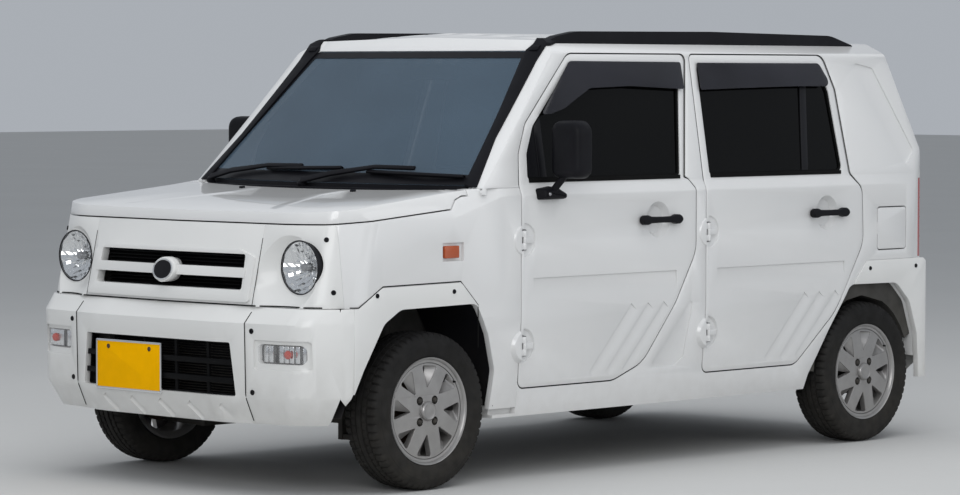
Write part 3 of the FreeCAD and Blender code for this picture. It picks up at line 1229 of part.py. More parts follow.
def make_steering_wheel():
    ring = Part.makeTorus(178.0, 13.0)
    hub = Part.makeCylinder(52.0, 40.0, V(0, 0, -34.0))
    spokes = [box(-170.0, 170.0, -14.0, 14.0, -8.0, 6.0), box(-14.0, 14.0, 0.0, 170.0, -8.0, 6.0)]
    shaft = Part.makeCylinder(11.0, 190.0, V(0, 0, -220.0))
    wheel = fuse_all([ring, hub, shaft] + spokes)
    wheel.rotate(V(0, 0, 0), V(1, 0, 0), COLUMN_TILT - 90.0)
    wheel.translate(V(*WHEEL_HUB))
    return wheel


def make_dashboard():
    half = SIDE_X - DOOR_DEPTH - SHUT_GAP - 1.0
    front_y = TOE_Y + SEAT_GAP
    face = [(front_y, 600.0, 0.0), (front_y, 985.0, 20.0), (-600.0, 990.0, 40.0), (-520.0, 930.0, 40.0),
            (-545.0, 720.0, 40.0), (-600.0, 600.0, 30.0)]
    dash = prism_x(face, -half, half)
    tilt = math.radians(COLUMN_TILT)
    direction = V(0.0, -math.cos(tilt), -math.sin(tilt))
    start = V(*WHEEL_HUB) + direction * 60.0
    end = V(*WHEEL_HUB) + direction * 300.0
    column = Part.makeCylinder(34.0, 240.0, start, direction)
    bore = Part.makeCylinder(11.0 + PIN_GAP, 400.0, V(*WHEEL_HUB), direction)
    return dash.fuse(column).cut(bore)


FRONT_SEAT_X = (100.0, 560.0)
SEAT_BASE = [
    # y, z, corner radius; the same columns in the next three outlines
    (-140.0, FLOOR_Z + FLOOR_THICKNESS + SEAT_GAP, 0.0),
    (-180.0, 400.0, 0.0),
    (300.0, 400.0, 0.0),
    (260.0, FLOOR_Z + FLOOR_THICKNESS + SEAT_GAP, 0.0),
]
SEAT_CUSHION = [(-230.0, 400.0, 30.0), (-240.0, 560.0, 60.0), (250.0, 530.0, 40.0), (250.0, 400.0, 30.0)]
SEAT_BACK = [(230.0, 430.0, 30.0), (190.0, 540.0, 30.0), (330.0, 1090.0, 50.0), (440.0, 1080.0, 50.0), (350.0, 430.0, 30.0)]
HEADREST = [(350.0, 1110.0, 30.0), (370.0, 1270.0, 40.0), (450.0, 1260.0, 40.0), (430.0, 1110.0, 30.0)]


def make_front_seat():
    x0, x1 = FRONT_SEAT_X
    base = prism_x(SEAT_BASE, x0 + 60.0, x1 - 60.0)
    cushion = prism_x(SEAT_CUSHION, x0, x1)
    back = prism_x(SEAT_BACK, x0 + 10.0, x1 - 10.0)
    rest = prism_x(HEADREST, x0 + 110.0, x1 - 110.0)
    stalks = [box(x, x + 12.0, 390.0, 402.0, 1060.0, 1130.0) for x in (x0 + 170.0, x1 - 182.0)]
    return fuse_all([base, cushion, back, rest] + stalks)


REAR_SEAT_HALF = HOUSING_X - 8.0


def make_rear_seat():
    """Bench and its back in one, standing on the raised part of the floor."""
    foot = LOAD_FLOOR_Z + SEAT_GAP
    outline = [(935.0, foot, 0.0), (935.0, 430.0, 0.0), (756.0, 430.0, 20.0), (750.0, 560.0, 45.0),
               (1165.0, 535.0, 10.0), (1290.0, 1050.0, 35.0), (1370.0, 1030.0, 35.0), (1290.0, 430.0, 0.0),
               (1290.0, foot, 0.0)]
    return prism_x(outline, -REAR_SEAT_HALF, REAR_SEAT_HALF)


# Rails, mirrors and handles
RAIL_X = (540.0, 580.0)
RAIL_SIDE = [
    # y, z, corner radius of the rail's run along the roof
    (-438.0, 1478.0, 0.0),
    (-425.0, 1492.0, 10.0),
    (-330.0, 1528.0, 60.0),
    (-225.0, 1545.0, 200.0),
    (500.0, HEIGHT, 900.0),
    (1200.0, 1541.0, 200.0),
    (1335.0, 1505.0, 12.0),
    (1335.0, 1478.0, 0.0),
]


PILLAR_TRIM_PROUD = 8.0
PILLAR_TRIM_FRONT = [
    # x, z of the trim seen from the front, from the cowl up its inner edge and down its outer edge
    (648.0, 1010.0),
    (538.0, 1452.0),
    (524.0, 1478.0),
    (RAIL_X[0], 1500.0),
    (RAIL_X[0], 1560.0),
    (600.0, 1560.0),
    (598.0, 1440.0),
    (640.0, 1174.0),
    (696.0, 1010.0),
]
PILLAR_TRIM_SIDE = [
    # y, z of the space that holds the trim seen from the side
    (-1000.0, 1005.0),
    (-1000.0, 1560.0),
    (-320.0, 1560.0),
    (-320.0, 1506.0),
    (-418.0, 1488.0),
    (-430.0, 1005.0),
]
PILLAR_TRIM_PLAN = [
    # x, y of the same space from above
    (520.0, -1000.0),
    (720.0, -1000.0),
    (650.0, -470.0),
    (606.0, -400.0),
    (RAIL_X[1], -340.0),
    (RAIL_X[1], -320.0),
    (520.0, -320.0),
]


def make_rail():
    """Black rail over the roof's edge, running on down the pillar beside the screen."""
    roof_run = prism_x(RAIL_SIDE, *RAIL_X)
    proud = -PILLAR_TRIM_PROUD
    skin = make_cabin(proud, proud, proud, proud, proud, SILL_Z)
    pillar_run = skin.common(prism_y(PILLAR_TRIM_FRONT, -1000.0, -320.0))
    pillar_run = pillar_run.common(prism_x(PILLAR_TRIM_SIDE, 400.0, 800.0))
    pillar_run = pillar_run.common(prism_z(PILLAR_TRIM_PLAN, 1000.0, 1570.0))
    return roof_run.fuse(pillar_run).cut(cabin_outer)


MIRROR_FOOT = [
    # y, z, corner radius
    (-600.0, 962.0, 10.0),
    (-600.0, 1000.0, 10.0),
    (-530.0, 1008.0, 10.0),
    (-480.0, 985.0, 10.0),
    (-480.0, 962.0, 10.0),
]
MIRROR_Y = (-562.0, -492.0)


def make_mirror():
    foot = prism_x(MIRROR_FOOT, SIDE_X - 20.0, SIDE_X + 40.0).cut(cabin_outer)
    stalk = rod((SIDE_X + 20.0, -545.0, 985.0), (SIDE_X + 75.0, -528.0, 1060.0), 13.0)
    inner, outer = SIDE_X + 22.0, SIDE_X + 160.0
    outline = [(inner, 1036.0, 30.0), (inner, 1235.0, 35.0), (outer, 1235.0, 45.0), (outer, 1036.0, 35.0)]
    return fuse_all([foot, stalk, prism_y(outline, *MIRROR_Y)])


HANDLE_Z = 878.0
HANDLE_HALF = 122.0
HANDLE_END = 21.0
HANDLE_END_Y = 102.0


def make_handle(y):
    """Pull bar between two blocks."""
    z = HANDLE_Z
    pieces = [box(SIDE_X + 12.0, SIDE_X + 28.0, y - HANDLE_HALF, y + HANDLE_HALF, z - 14.0, z + 14.0)]
    for end in (-HANDLE_END_Y, HANDLE_END_Y):
        middle = y + end
        pieces.append(box(SIDE_X + SEAT_GAP, SIDE_X + 30.0, middle - HANDLE_END, middle + HANDLE_END,
                          z - HANDLE_END, z + HANDLE_END))
    return fuse_all(pieces)


HANDLE_Y = (34.0, 993.0)
DISH_R = 64.0
CREASE_Z = (627.0, 694.0)
CREASE_DEPTH = 6.0
RIB_Z = (354.0, 586.0)
RIB_WIDTH = 42.0
RIB_TUCK = 16.0


def door_details(door, crease, ribs, handle_y):
    """Pressings of the door skin: the horizontal wedge, the slanted ribs and the handle's dish."""
    y0, y1 = crease
    proud = SIDE_X + 5.0
    wedge = prism_y([(SIDE_X - CREASE_DEPTH, CREASE_Z[1]), (proud, CREASE_Z[1]), (proud, CREASE_Z[0]),
                     (SIDE_X, CREASE_Z[0])], y0, y1)
    door = door.cut(wedge)
    for top_y, foot_y in ribs:
        top = V(SIDE_X, top_y, RIB_Z[1])
        foot = V(SIDE_X - RIB_TUCK, foot_y, RIB_Z[0])
        across = V(0.0, RIB_Z[1] - RIB_Z[0], foot_y - top_y).normalize() * RIB_WIDTH
        corners = [top + V(-CREASE_DEPTH, 0, 0), top + V(8.0, 0, 0), top + across + V(8.0, 0, 0),
                   top + across + V(0.5, 0, 0)]
        door = door.cut(Part.Face(Part.makePolygon(corners + [corners[0]])).extrude(foot - top))
    dish = Part.makeCone(DISH_R, DISH_R - 16.0, 24.0, V(SIDE_X, handle_y, HANDLE_Z), V(-1, 0, 0))
    return door.cut(dish)


# Build and write every piece
FRONT_RIBS = [(-108.0, -312.0), (-19.0, -225.0), (66.0, -138.0)]
REAR_RIBS = [(863.0, 650.0), (950.0, 739.0), (1045.0, 829.0)]
front_door = make_door(FRONT_DOOR, FRONT_WINDOW)
front_door = with_hinges(front_door, FRONT_HINGE_Y, front_room, front_moving)
front_door = door_details(front_door, (-615.0, 135.0), FRONT_RIBS, HANDLE_Y[0])
rear_door = make_door(REAR_DOOR, REAR_WINDOW)
rear_door = with_hinges(rear_door, REAR_HINGE_Y, rear_room, rear_moving)
rear_door = door_details(rear_door, (360.0, 1100.0), REAR_RIBS, HANDLE_Y[1])
save("door_front_left", front_door)
save("door_front_right", mirrored(front_door))
save("door_rear_left", rear_door)
save("door_rear_right", mirrored(rear_door))
front_glass = make_glass(FRONT_WINDOW)
rear_glass = make_glass(REAR_WINDOW)
save("glass_front_left", front_glass)
save("glass_front_right", mirrored(front_glass))
save("glass_rear_left", rear_glass)
save("glass_rear_right", mirrored(rear_glass))
front_fitting = Part.makeCompound([make_mirror(), make_handle(HANDLE_Y[0])])
save("fittings_front_left", front_fitting)
save("fittings_front_right", mirrored(front_fitting))
rear_fitting = make_handle(HANDLE_Y[1])
save("handle_rear_left", rear_fitting)
save("handle_rear_right", mirrored(rear_fitting))

side_plain, side_pocket = make_body_side()
screen_rebate = make_screen_rebate()
lamp_room = tail_lamp_block(SEAT_GAP)
side_left = side_pocket.cut(screen_rebate).cut(lamp_room)
side_right = mirrored(side_plain.cut(screen_rebate).cut(lamp_room))
save("body_side_left", side_left)
save("body_side_right", side_right)
save("fuel_lid", make_fuel_lid())
save("tail_lamps", pair(tail_lamp_block(0.0).common(cabin_shell)))
save("roof_panel", make_roof().cut(screen_rebate))
save("windscreen", make_windscreen())
save("cowl_panel", make_cowl())
save("bonnet", make_bonnet())
fender = make_fender()
for z in HINGE_Z:
    fender = fender.fuse(hinge_dome(FRONT_HINGE_Y, z, -FAR, FENDER_REAR_Y))
for room in front_room:
    fender = fender.cut(room)
for piece in front_fixed:
    fender = fender.fuse(piece)
save("front_fenders", pair(fender))
grille, lamp_panel = make_nose_panels()
save("grille_panel", grille)
save("headlamp_panels", pair(lamp_panel))
save("headlamps", pair(make_headlamp()))
centre, corner = make_front_bumper()
save("front_bumper", Part.makeCompound([centre, corner, mirrored(corner)]))
save("lower_grille", make_lower_grille())
save("indicator_lamps", make_indicators())
centre, corner = make_rear_bumper()
save("rear_bumper", Part.makeCompound([centre, corner, mirrored(corner)]))
save("rear_panel", make_rear_panel())
save("tailgate", make_tailgate())
save("tailgate_glass", make_tailgate_glass())
save("engine_bay", make_engine_bay())
save("floor_pan", make_floor())
save("front_suspension", make_front_suspension())
save("rear_axle", make_rear_axle())
knuckle = make_knuckle()
save("knuckle_left", knuckle)
save("knuckle_right", mirrored(knuckle))
for name, y, out in (("front_left", AXLE_F, 1), ("front_right", AXLE_F, -1), ("rear_left", AXLE_R, 1),
                     ("rear_right", AXLE_R, -1)):
    tyre = make_tyre(out * WHEEL_X)
    rim = make_rim(out * WHEEL_X, out)
    for shape, kind in ((tyre, "tyre_"), (rim, "rim_")):
        shape.translate(V(0, y, AXLE_Z))
        save(kind + name, shape)
save("engine_block", box(*ENGINE))
save("fuel_tank", box(*TANK))
run, silencer = make_exhaust()
save("exhaust", Part.makeCompound([run, silencer]))
save("steering_wheel", make_steering_wheel())
save("dashboard", make_dashboard())
save("front_seats", pair(make_front_seat()))
save("rear_seat", make_rear_seat())
save("roof_rails", pair(make_rail()))
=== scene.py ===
import bpy
import bmesh
import json
import math
from mathutils import Matrix, Vector
from mathutils.bvhtree import BVHTree


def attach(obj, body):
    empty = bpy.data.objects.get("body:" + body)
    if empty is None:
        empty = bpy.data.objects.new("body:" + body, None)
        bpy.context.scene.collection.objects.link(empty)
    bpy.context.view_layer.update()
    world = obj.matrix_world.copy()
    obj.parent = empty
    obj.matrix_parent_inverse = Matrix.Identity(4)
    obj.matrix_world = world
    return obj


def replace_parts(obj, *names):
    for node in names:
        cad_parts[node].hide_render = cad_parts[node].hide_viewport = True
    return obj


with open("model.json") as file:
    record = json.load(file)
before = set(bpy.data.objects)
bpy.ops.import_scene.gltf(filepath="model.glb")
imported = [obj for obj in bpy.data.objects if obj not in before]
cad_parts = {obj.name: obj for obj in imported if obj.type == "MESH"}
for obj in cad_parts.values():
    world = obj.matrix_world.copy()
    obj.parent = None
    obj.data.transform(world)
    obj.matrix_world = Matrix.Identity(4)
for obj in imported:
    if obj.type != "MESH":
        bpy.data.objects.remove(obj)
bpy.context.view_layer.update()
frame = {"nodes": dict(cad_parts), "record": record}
nodes = frame["nodes"]
scene = bpy.context.scene
MM = 0.001

# Sizes that the pieces share with the solids, in millimetres
SIDE_X = 733.0
SHOULDER_Z = 978.0
BELT_Z = 1016.0
CABIN_TOP = 1470.0
SILL_TOP = 560.0
SILL_FOOT = 330.0
SILL_TUCK = 18.0
SHOULDER_STEP = 15.0
GLASS_LEAN = 79.0
AXLE_F, AXLE_R, AXLE_Z = -1108.0, 1252.0, 266.0
WHEEL_X = 647.5
FRONT_WINDOW = [(-628.0, 1030.0, 15.0), (172.0, 1030.0, 15.0), (240.0, 1430.0, 30.0), (-340.0, 1430.0, 30.0),
                (-570.0, 1215.0, 40.0), (-618.0, 1120.0, 40.0)]
REAR_WINDOW = [(335.0, 1030.0, 15.0), (1108.0, 1030.0, 25.0), (1085.0, 1330.0, 60.0), (1040.0, 1430.0, 40.0),
               (338.0, 1430.0, 20.0)]
SCREEN_FOOT = (690.0, -853.0, 95.0, 1014.0)
SCREEN_HEAD = (540.0, -428.0, 18.0, 1476.0)
SCREEN_REACH = 1.35
BACK = (0, 1, 0)


def add_object(name, data):
    made = bpy.data.objects.new(name, data)
    scene.collection.objects.link(made)
    return made


def modify(piece, name, kind, **values):
    change = piece.modifiers.new(name, kind)
    for key, value in values.items():
        setattr(change, key, value)
    return change


# Materials
def add_node(tree, kind, **values):
    node = tree.nodes.new(kind)
    for key, value in values.items():
        setattr(node, key, value)
    return node


def fill(node, values):
    for key, value in values.items():
        node.inputs[key].default_value = value


def texture(tree, kind, values, **settings):
    """Texture laid out in the piece's own space; gives its strength."""
    place = add_node(tree, "ShaderNodeTexCoord")
    pattern = add_node(tree, kind, **settings)
    fill(pattern, values)
    tree.links.new(place.outputs["Object"], pattern.inputs["Vector"])
    return pattern.outputs["Fac"]


def cloud(tree, scale, detail):
    return texture(tree, "ShaderNodeTexNoise", {"Scale": scale, "Detail": detail})


def spread(tree, value, source, target):
    """Value with its span from source carried over to target."""
    change = add_node(tree, "ShaderNodeMapRange")
    fill(change, {"From Min": source[0], "From Max": source[1], "To Min": target[0], "To Max": target[1]})
    tree.links.new(value, change.inputs["Value"])
    return change.outputs[0]


def product(tree, first, second):
    times = add_node(tree, "ShaderNodeMath", operation="MULTIPLY")
    tree.links.new(first, times.inputs[0])
    tree.links.new(second, times.inputs[1])
    return times.outputs[0]


def blended(tree, amount, first, colour):
    """Colour socket blended with a fixed colour."""
    mix = add_node(tree, "ShaderNodeMix", data_type="RGBA")
    mix.inputs[7].default_value = tuple(colour) + (1.0,)
    tree.links.new(amount, mix.inputs[0])
    tree.links.new(first, mix.inputs[6])
    return mix.outputs[2]


def relief(tree, height, depth, strength=1.0):
    """Bump of a texture, depth in millimetres."""
    bump = add_node(tree, "ShaderNodeBump")
    fill(bump, {"Strength": strength, "Distance": depth * MM})
    tree.links.new(height, bump.inputs["Height"])
    tree.links.new(bump.outputs["Normal"], tree.nodes["Principled BSDF"].inputs["Normal"])


CLOUD_SPAN = (0.3, 0.7)
DUST = (0.27, 0.24, 0.19)
DUST_FOOT = 0.12


def surface(name, colour, rough, metal=0.0, coat=0.0, alpha=1.0, specular=0.5, mottle=(0.03, 4.0),
            rough_spread=0.06, grain=(0.0, 900.0), soil=(0.0, 0.55)):
    """Material with cloudy colour, uneven gloss, a fine grain and, near the ground, a film of road dust.

    mottle is strength and scale, grain is depth in millimetres and scale, soil is strength and top in metres.
    """
    mat = bpy.data.materials.new(name)
    mat.use_nodes = True
    tree = mat.node_tree
    shader = tree.nodes["Principled BSDF"]
    fill(shader, {"Metallic": metal, "Coat Weight": coat, "Coat Roughness": 0.04, "Alpha": alpha,
                  "Specular IOR Level": specular})
    ramp = add_node(tree, "ShaderNodeValToRGB")
    factors = (1.0 - mottle[0], 1.0 + mottle[0])
    for stop, position, factor in zip(ramp.color_ramp.elements, CLOUD_SPAN, factors):
        stop.position = position
        stop.color = tuple(min(c * factor, 1.0) for c in colour) + (1.0,)
    tree.links.new(cloud(tree, mottle[1], 6.0), ramp.inputs["Fac"])
    last = ramp.outputs["Color"]
    if soil[0] > 0.0:
        place = add_node(tree, "ShaderNodeTexCoord")
        split = add_node(tree, "ShaderNodeSeparateXYZ")
        tree.links.new(place.outputs["Object"], split.inputs[0])
        height = spread(tree, split.outputs["Z"], (DUST_FOOT, soil[1]), (soil[0], 0.0))
        last = blended(tree, product(tree, height, cloud(tree, 22.0, 8.0)), last, DUST)
    tree.links.new(last, shader.inputs["Base Color"])
    gloss = (max(rough - rough_spread, 0.0), min(rough + rough_spread, 1.0))
    tree.links.new(spread(tree, cloud(tree, 17.0, 4.0), CLOUD_SPAN, gloss), shader.inputs["Roughness"])
    if grain[0] > 0.0:
        relief(tree, cloud(tree, grain[1], 3.0), grain[0], 0.5)
    return mat


def add_bands(mat, scale, direction, depth):
    """Parallel ridges on top of a material, such as a lens's flutes."""
    tree = mat.node_tree
    relief(tree, texture(tree, "ShaderNodeTexWave", {"Scale": scale}, bands_direction=direction), depth, 0.8)
    return mat


def woven(name, dark, light, pitch):
    """Seat cloth: two crossed sets of threads in colour and in relief."""
    mat = surface(name, dark, 0.9, specular=0.2, mottle=(0.12, 9.0))
    tree = mat.node_tree
    shader = tree.nodes["Principled BSDF"]
    shader.inputs["Sheen Weight"].default_value = 0.3
    threads = {"Scale": math.pi / (pitch * MM) / 10.0, "Distortion": 0.6}
    weft, warp = [texture(tree, "ShaderNodeTexWave", threads, bands_direction=axis) for axis in ("X", "Z")]
    cross = product(tree, weft, warp)
    base = shader.inputs["Base Color"].links[0].from_socket
    tree.links.new(blended(tree, cross, base, light), shader.inputs["Base Color"])
    relief(tree, cross, 0.6)
    return mat


PAINT = surface("body_paint", (0.74, 0.74, 0.735), 0.3, coat=0.7, mottle=(0.008, 4.0), rough_spread=0.02,
                grain=(0.008, 350.0), soil=(0.3, 0.55))
BUMPER = surface("bumper_plastic", (0.74, 0.74, 0.725), 0.4, coat=0.3, mottle=(0.012, 4.0),
                 rough_spread=0.03, grain=(0.02, 500.0), soil=(0.4, 0.55))
BLACK = surface("black_plastic", (0.007, 0.007, 0.009), 0.5, specular=0.14, mottle=(0.2, 4.0),
                grain=(0.12, 1400.0), soil=(0.1, 0.55))
SATIN = surface("satin_black", (0.008, 0.008, 0.01), 0.34, specular=0.2, mottle=(0.12, 4.0),
                grain=(0.05, 1600.0))
# Real rubber of seals, wipers and valves; the same black also fills the panel gaps as painted shade
RUBBER_AND_GAP_SHADE = surface("seal_rubber", (0.006, 0.006, 0.006), 0.75, specular=0.1, mottle=(0.2, 4.0),
                 grain=(0.1, 800.0))
TYRE = surface("tyre_rubber", (0.013, 0.013, 0.0135), 0.8, specular=0.14, mottle=(0.25, 30.0),
               grain=(0.2, 700.0), soil=(0.12, 0.6))
ALLOY = surface("wheel_silver", (0.36, 0.352, 0.348), 0.36, metal=0.7, coat=0.2, mottle=(0.08, 20.0),
                grain=(0.03, 1200.0), soil=(0.25, 0.5))
STEEL = surface("machined_steel", (0.4, 0.4, 0.41), 0.35, metal=1.0, mottle=(0.12, 60.0),
                grain=(0.05, 900.0))
RUST = surface("cast_brown", (0.07, 0.045, 0.032), 0.75, metal=0.3, mottle=(0.4, 60.0), grain=(0.4, 300.0))
DARK_STEEL = surface("black_chassis", (0.022, 0.021, 0.021), 0.6, metal=0.2, specular=0.3,
                     mottle=(0.25, 25.0), grain=(0.25, 250.0), soil=(0.25, 0.8))
UNDERSEAL = surface("underseal", (0.055, 0.054, 0.052), 0.85, specular=0.2, mottle=(0.25, 12.0),
                    grain=(0.5, 220.0), soil=(0.3, 0.8))
CHROME = surface("chrome", (0.82, 0.83, 0.84), 0.07, metal=1.0, mottle=(0.03, 4.0), rough_spread=0.04)
TINT = surface("tinted_glass", (0.002, 0.002, 0.002), 0.03, alpha=0.98, specular=0.14, mottle=(0.3, 2.0),
               rough_spread=0.02)
CLEAR = surface("screen_glass", (0.085, 0.13, 0.178), 0.01, alpha=0.58, specular=0.55, mottle=(0.12, 2.0),
                rough_spread=0.02)
LENS = surface("clear_lens", (0.75, 0.77, 0.78), 0.03, alpha=0.06, specular=0.6, mottle=(0.05, 4.0),
               rough_spread=0.02)
SMOKE = surface("smoked_visor", (0.016, 0.016, 0.022), 0.14, alpha=0.88, specular=0.45, mottle=(0.3, 3.0))
RED = add_bands(surface("red_lens", (0.42, 0.008, 0.01), 0.08, coat=0.6, specular=0.6, mottle=(0.1, 4.0)),
                60.0, "Z", 0.5)
AMBER = add_bands(surface("amber_lens", (0.45, 0.075, 0.01), 0.1, coat=0.4, specular=0.6,
                          mottle=(0.1, 4.0)), 90.0, "Z", 0.5)
BULB = surface("amber_bulb", (0.5, 0.03, 0.008), 0.12, coat=0.5, mottle=(0.08, 60.0))
FLUTED = add_bands(surface("fluted_lens", (0.8, 0.8, 0.8), 0.05, alpha=0.14, specular=0.6,
                           mottle=(0.05, 4.0)), 42.0, "X", 1.4)
PLATE = surface("plate_amber", (0.93, 0.46, 0.0), 0.6, specular=0.02, mottle=(0.03, 25.0),
                grain=(0.05, 300.0), soil=(0.03, 0.55))
DEEP = surface("grille_black", (0.004, 0.004, 0.0045), 0.6, specular=0.12, mottle=(0.3, 4.0),
               grain=(0.1, 900.0))
CABIN = surface("cabin_plastic", (0.07, 0.075, 0.08), 0.7, specular=0.3, mottle=(0.08, 4.0),
                grain=(0.05, 900.0))
LINING = surface("roof_lining", (0.3, 0.31, 0.32), 0.95, specular=0.2, mottle=(0.05, 4.0),
                 grain=(0.05, 1200.0))
CLOTH = woven("seat_cloth", (0.06, 0.066, 0.075), (0.1, 0.106, 0.115), 6.0)
MIRROR = surface("mirror_glass", (0.85, 0.86, 0.87), 0.02, metal=1.0, mottle=(0.01, 4.0), rough_spread=0.01)

NODE_MATERIALS = {
    "body_white": PAINT, "trim_white": BUMPER, "black_plastic": BLACK, "tinted_glass": TINT,
    "clear_glass": CLEAR, "lamp_clear": LENS, "lamp_red": RED, "underbody": UNDERSEAL,
    "black_steel": DARK_STEEL, "iron": RUST, "steel": STEEL, "tyre": TYRE, "alloy": ALLOY,
    "cabin_plastic": CABIN, "seat_fabric": CLOTH,
}
BEVELS = {"body_white": 2.5, "trim_white": 3.0, "black_plastic": 2.5, "alloy": 1.5, "black_steel": 2.0,
          "cabin_plastic": 6.0, "underbody": 2.0}
for entry in frame["record"]["subparts"]:
    part = nodes[entry["node"]]
    part.data.materials.clear()
    part.data.materials.append(NODE_MATERIALS[entry["material_slot"]])
    for polygon in part.data.polygons:
        polygon.use_smooth = True
    modify(part, "join", "WELD", merge_threshold=0.02 * MM)
    width = BEVELS.get(entry["material_slot"], 0.0)
    if width:
        modify(part, "soft edges", "BEVEL", width=width * MM, segments=2, limit_method="ANGLE",
               angle_limit=math.radians(38.0), use_clamp_overlap=True)
    modify(part, "crease", "EDGE_SPLIT", split_angle=math.radians(48.0))
nodes["lower_grille"].data.materials[0] = DEEP


# Mesh helpers; all take millimetres
def make_mesh(name, verts, faces, mat, body="shell", smooth=True, thickness=0.0, bevel=0.0, crease=40.0):
    mesh = bpy.data.meshes.new(name)
    mesh.from_pydata([tuple(c * MM for c in v) for v in verts], [], faces)
    mesh.validate()
    work = bmesh.new()
    work.from_mesh(mesh)
    bmesh.ops.recalc_face_normals(work, faces=work.faces)
    work.to_mesh(mesh)
    work.free()
    piece = add_object(name, mesh)
    mesh.materials.append(mat)
    for polygon in mesh.polygons:
        polygon.use_smooth = smooth
    if thickness:
        modify(piece, "thickness", "SOLIDIFY", thickness=thickness * MM, offset=0.0)
    if bevel:
        modify(piece, "soft edges", "BEVEL", width=bevel * MM, segments=3, limit_method="ANGLE",
               angle_limit=math.radians(35.0))
    if smooth:
        modify(piece, "crease", "EDGE_SPLIT", split_angle=math.radians(crease))
    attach(piece, body)
    return piece


def loft(name, sections, mat, body="shell", **options):
    """Skin over closed sections with the same number of points, closed at both ends."""
    n = len(sections[0])
    verts = [spot for section in sections for spot in section]
    faces = [(i * n + k, i * n + (k + 1) % n, (i + 1) * n + (k + 1) % n, (i + 1) * n + k)
             for i in range(len(sections) - 1) for k in range(n)]
    faces += [tuple(range(n)), tuple(range(len(verts) - n, len(verts)))]
    return make_mesh(name, verts, faces, mat, body, **options)


def sheet(name, rows, mat, body="shell", **options):
    """Open skin over rows of points."""
    n = len(rows[0])
    faces = [(i * n + k, i * n + k + 1, (i + 1) * n + k + 1, (i + 1) * n + k)
             for i in range(len(rows) - 1) for k in range(n - 1)]
    return make_mesh(name, [spot for row in rows for spot in row], faces, mat, body, **options)


def lathe(name, profile, centre, axis, mat, body="shell", steps=64, closed=False, **options):
    """Turns (radius, along) points about an axis through centre."""
    axis = Vector(axis).normalized()
    side = axis.orthogonal().normalized()
    other = axis.cross(side)
    centre = Vector(centre)
    verts = []
    for i in range(steps):
        angle = 2 * math.pi * i / steps
        spoke = side * math.cos(angle) + other * math.sin(angle)
        verts += [centre + spoke * r + axis * a for r, a in profile]
    n = len(profile)
    faces = []
    spans = n if closed else n - 1
    for i in range(steps):
        for k in range(spans):
            a, b = i * n + k, i * n + (k + 1) % n
            c, d = ((i + 1) % steps) * n + (k + 1) % n, ((i + 1) % steps) * n + k
            faces.append((a, b, c, d))
    if not closed:
        for k in (0, n - 1):
            if profile[k][0] > 0.0:
                faces.append(tuple(i * n + k for i in range(steps)))
    return make_mesh(name, verts, faces, mat, body, **options)


def rounded(points, steps=5):
    """Outline of (u, v, radius) points with its corners turned into arcs."""
    result = []
    count = len(points)
    for i in range(count):
        u, v = points[i][0], points[i][1]
        radius = points[i][2] if len(points[i]) > 2 else 0.0
        if radius == 0.0:
            result.append((u, v))
            continue
        here = Vector((u, v))
        a = (Vector(points[i - 1][:2]) - here).normalized()
        b = (Vector(points[(i + 1) % count][:2]) - here).normalized()
        half = a.angle(b) / 2
        reach = radius / math.tan(half)
        centre = here + (a + b).normalized() * (radius / math.sin(half))
        start, end = here + a * reach - centre, here + b * reach - centre
        turn = start.angle_signed(end)
        for k in range(steps + 1):
            angle = -turn * k / steps
            spin = Matrix.Rotation(angle, 2)
            result.append(tuple(centre + spin @ start))
    return result


def oblong(half_u, half_v, radius, steps=5):
    """Outline of a rounded rectangle about the origin."""
    corners = ((-1, -1), (1, -1), (1, 1), (-1, 1))
    return rounded([(u * half_u, v * half_v, radius) for u, v in corners], steps)


def inset(outline, amount):
    """Closed outline of (u, v) points moved inwards."""
    area = sum(a[0] * b[1] - b[0] * a[1] for a, b in zip(outline, outline[1:] + outline[:1]))
    turn = 1.0 if area > 0 else -1.0
    result = []
    n = len(outline)
    for i in range(n):
        before, here, after = Vector(outline[i - 1]), Vector(outline[i]), Vector(outline[(i + 1) % n])
        first, second = (here - before).normalized(), (after - here).normalized()
        if first.length == 0 or second.length == 0:
            result.append(tuple(here))
            continue
        n1 = Vector((-first.y, first.x)) * turn
        n2 = Vector((-second.y, second.x)) * turn
        across = n1 + n2
        result.append(tuple(here + across * (amount / (1.0 + n1.dot(n2)))))
    return result


def side_x(z):
    """Distance of the cabin's skin from the middle, at a height."""
    if z < SILL_TOP:
        return SIDE_X - SILL_TUCK * (SILL_TOP - z) / (SILL_TOP - SILL_FOOT)
    if z < SHOULDER_Z:
        return SIDE_X
    if z < BELT_Z:
        return SIDE_X - SHOULDER_STEP * (z - SHOULDER_Z) / (BELT_Z - SHOULDER_Z)
    return SIDE_X - SHOULDER_STEP - GLASS_LEAN * (z - BELT_Z) / (CABIN_TOP - BELT_Z)


def screen_y(x, z):
    """Depth of the windscreen's surface at a place across and a height."""
    share = (z - SCREEN_FOOT[3]) / (SCREEN_HEAD[3] - SCREEN_FOOT[3])
    half, edge_y, bow = [a + (b - a) * share for a, b in zip(SCREEN_FOOT[:3], SCREEN_HEAD[:3])]
    wide, deep = half * SCREEN_REACH, bow * SCREEN_REACH ** 2
    radius = (wide * wide + deep * deep) / (2 * deep)
    return edge_y - bow + radius - math.sqrt(radius * radius - x * x)


def strip_on(name, outer, inner, place, mat, body="shell", **options):
    """Closed flat ring between two outlines with the same number of points."""
    verts = [place(*p) for p in outer] + [place(*p) for p in inner]
    n = len(outer)
    faces = [(i, (i + 1) % n, n + (i + 1) % n, n + i) for i in range(n)]
    return make_mesh(name, verts, faces, mat, body, **options)


def panel_on(name, outline, place, mat, body="shell", **options):
    verts = [place(*p) for p in outline]
    return make_mesh(name, verts, [tuple(range(len(verts)))], mat, body, **options)


def on_side(sign, out):
    """Places (y, z) on the cabin's side, out millimetres outside its skin."""
    return lambda y, z: (sign * (side_x(z) + out), y, z)


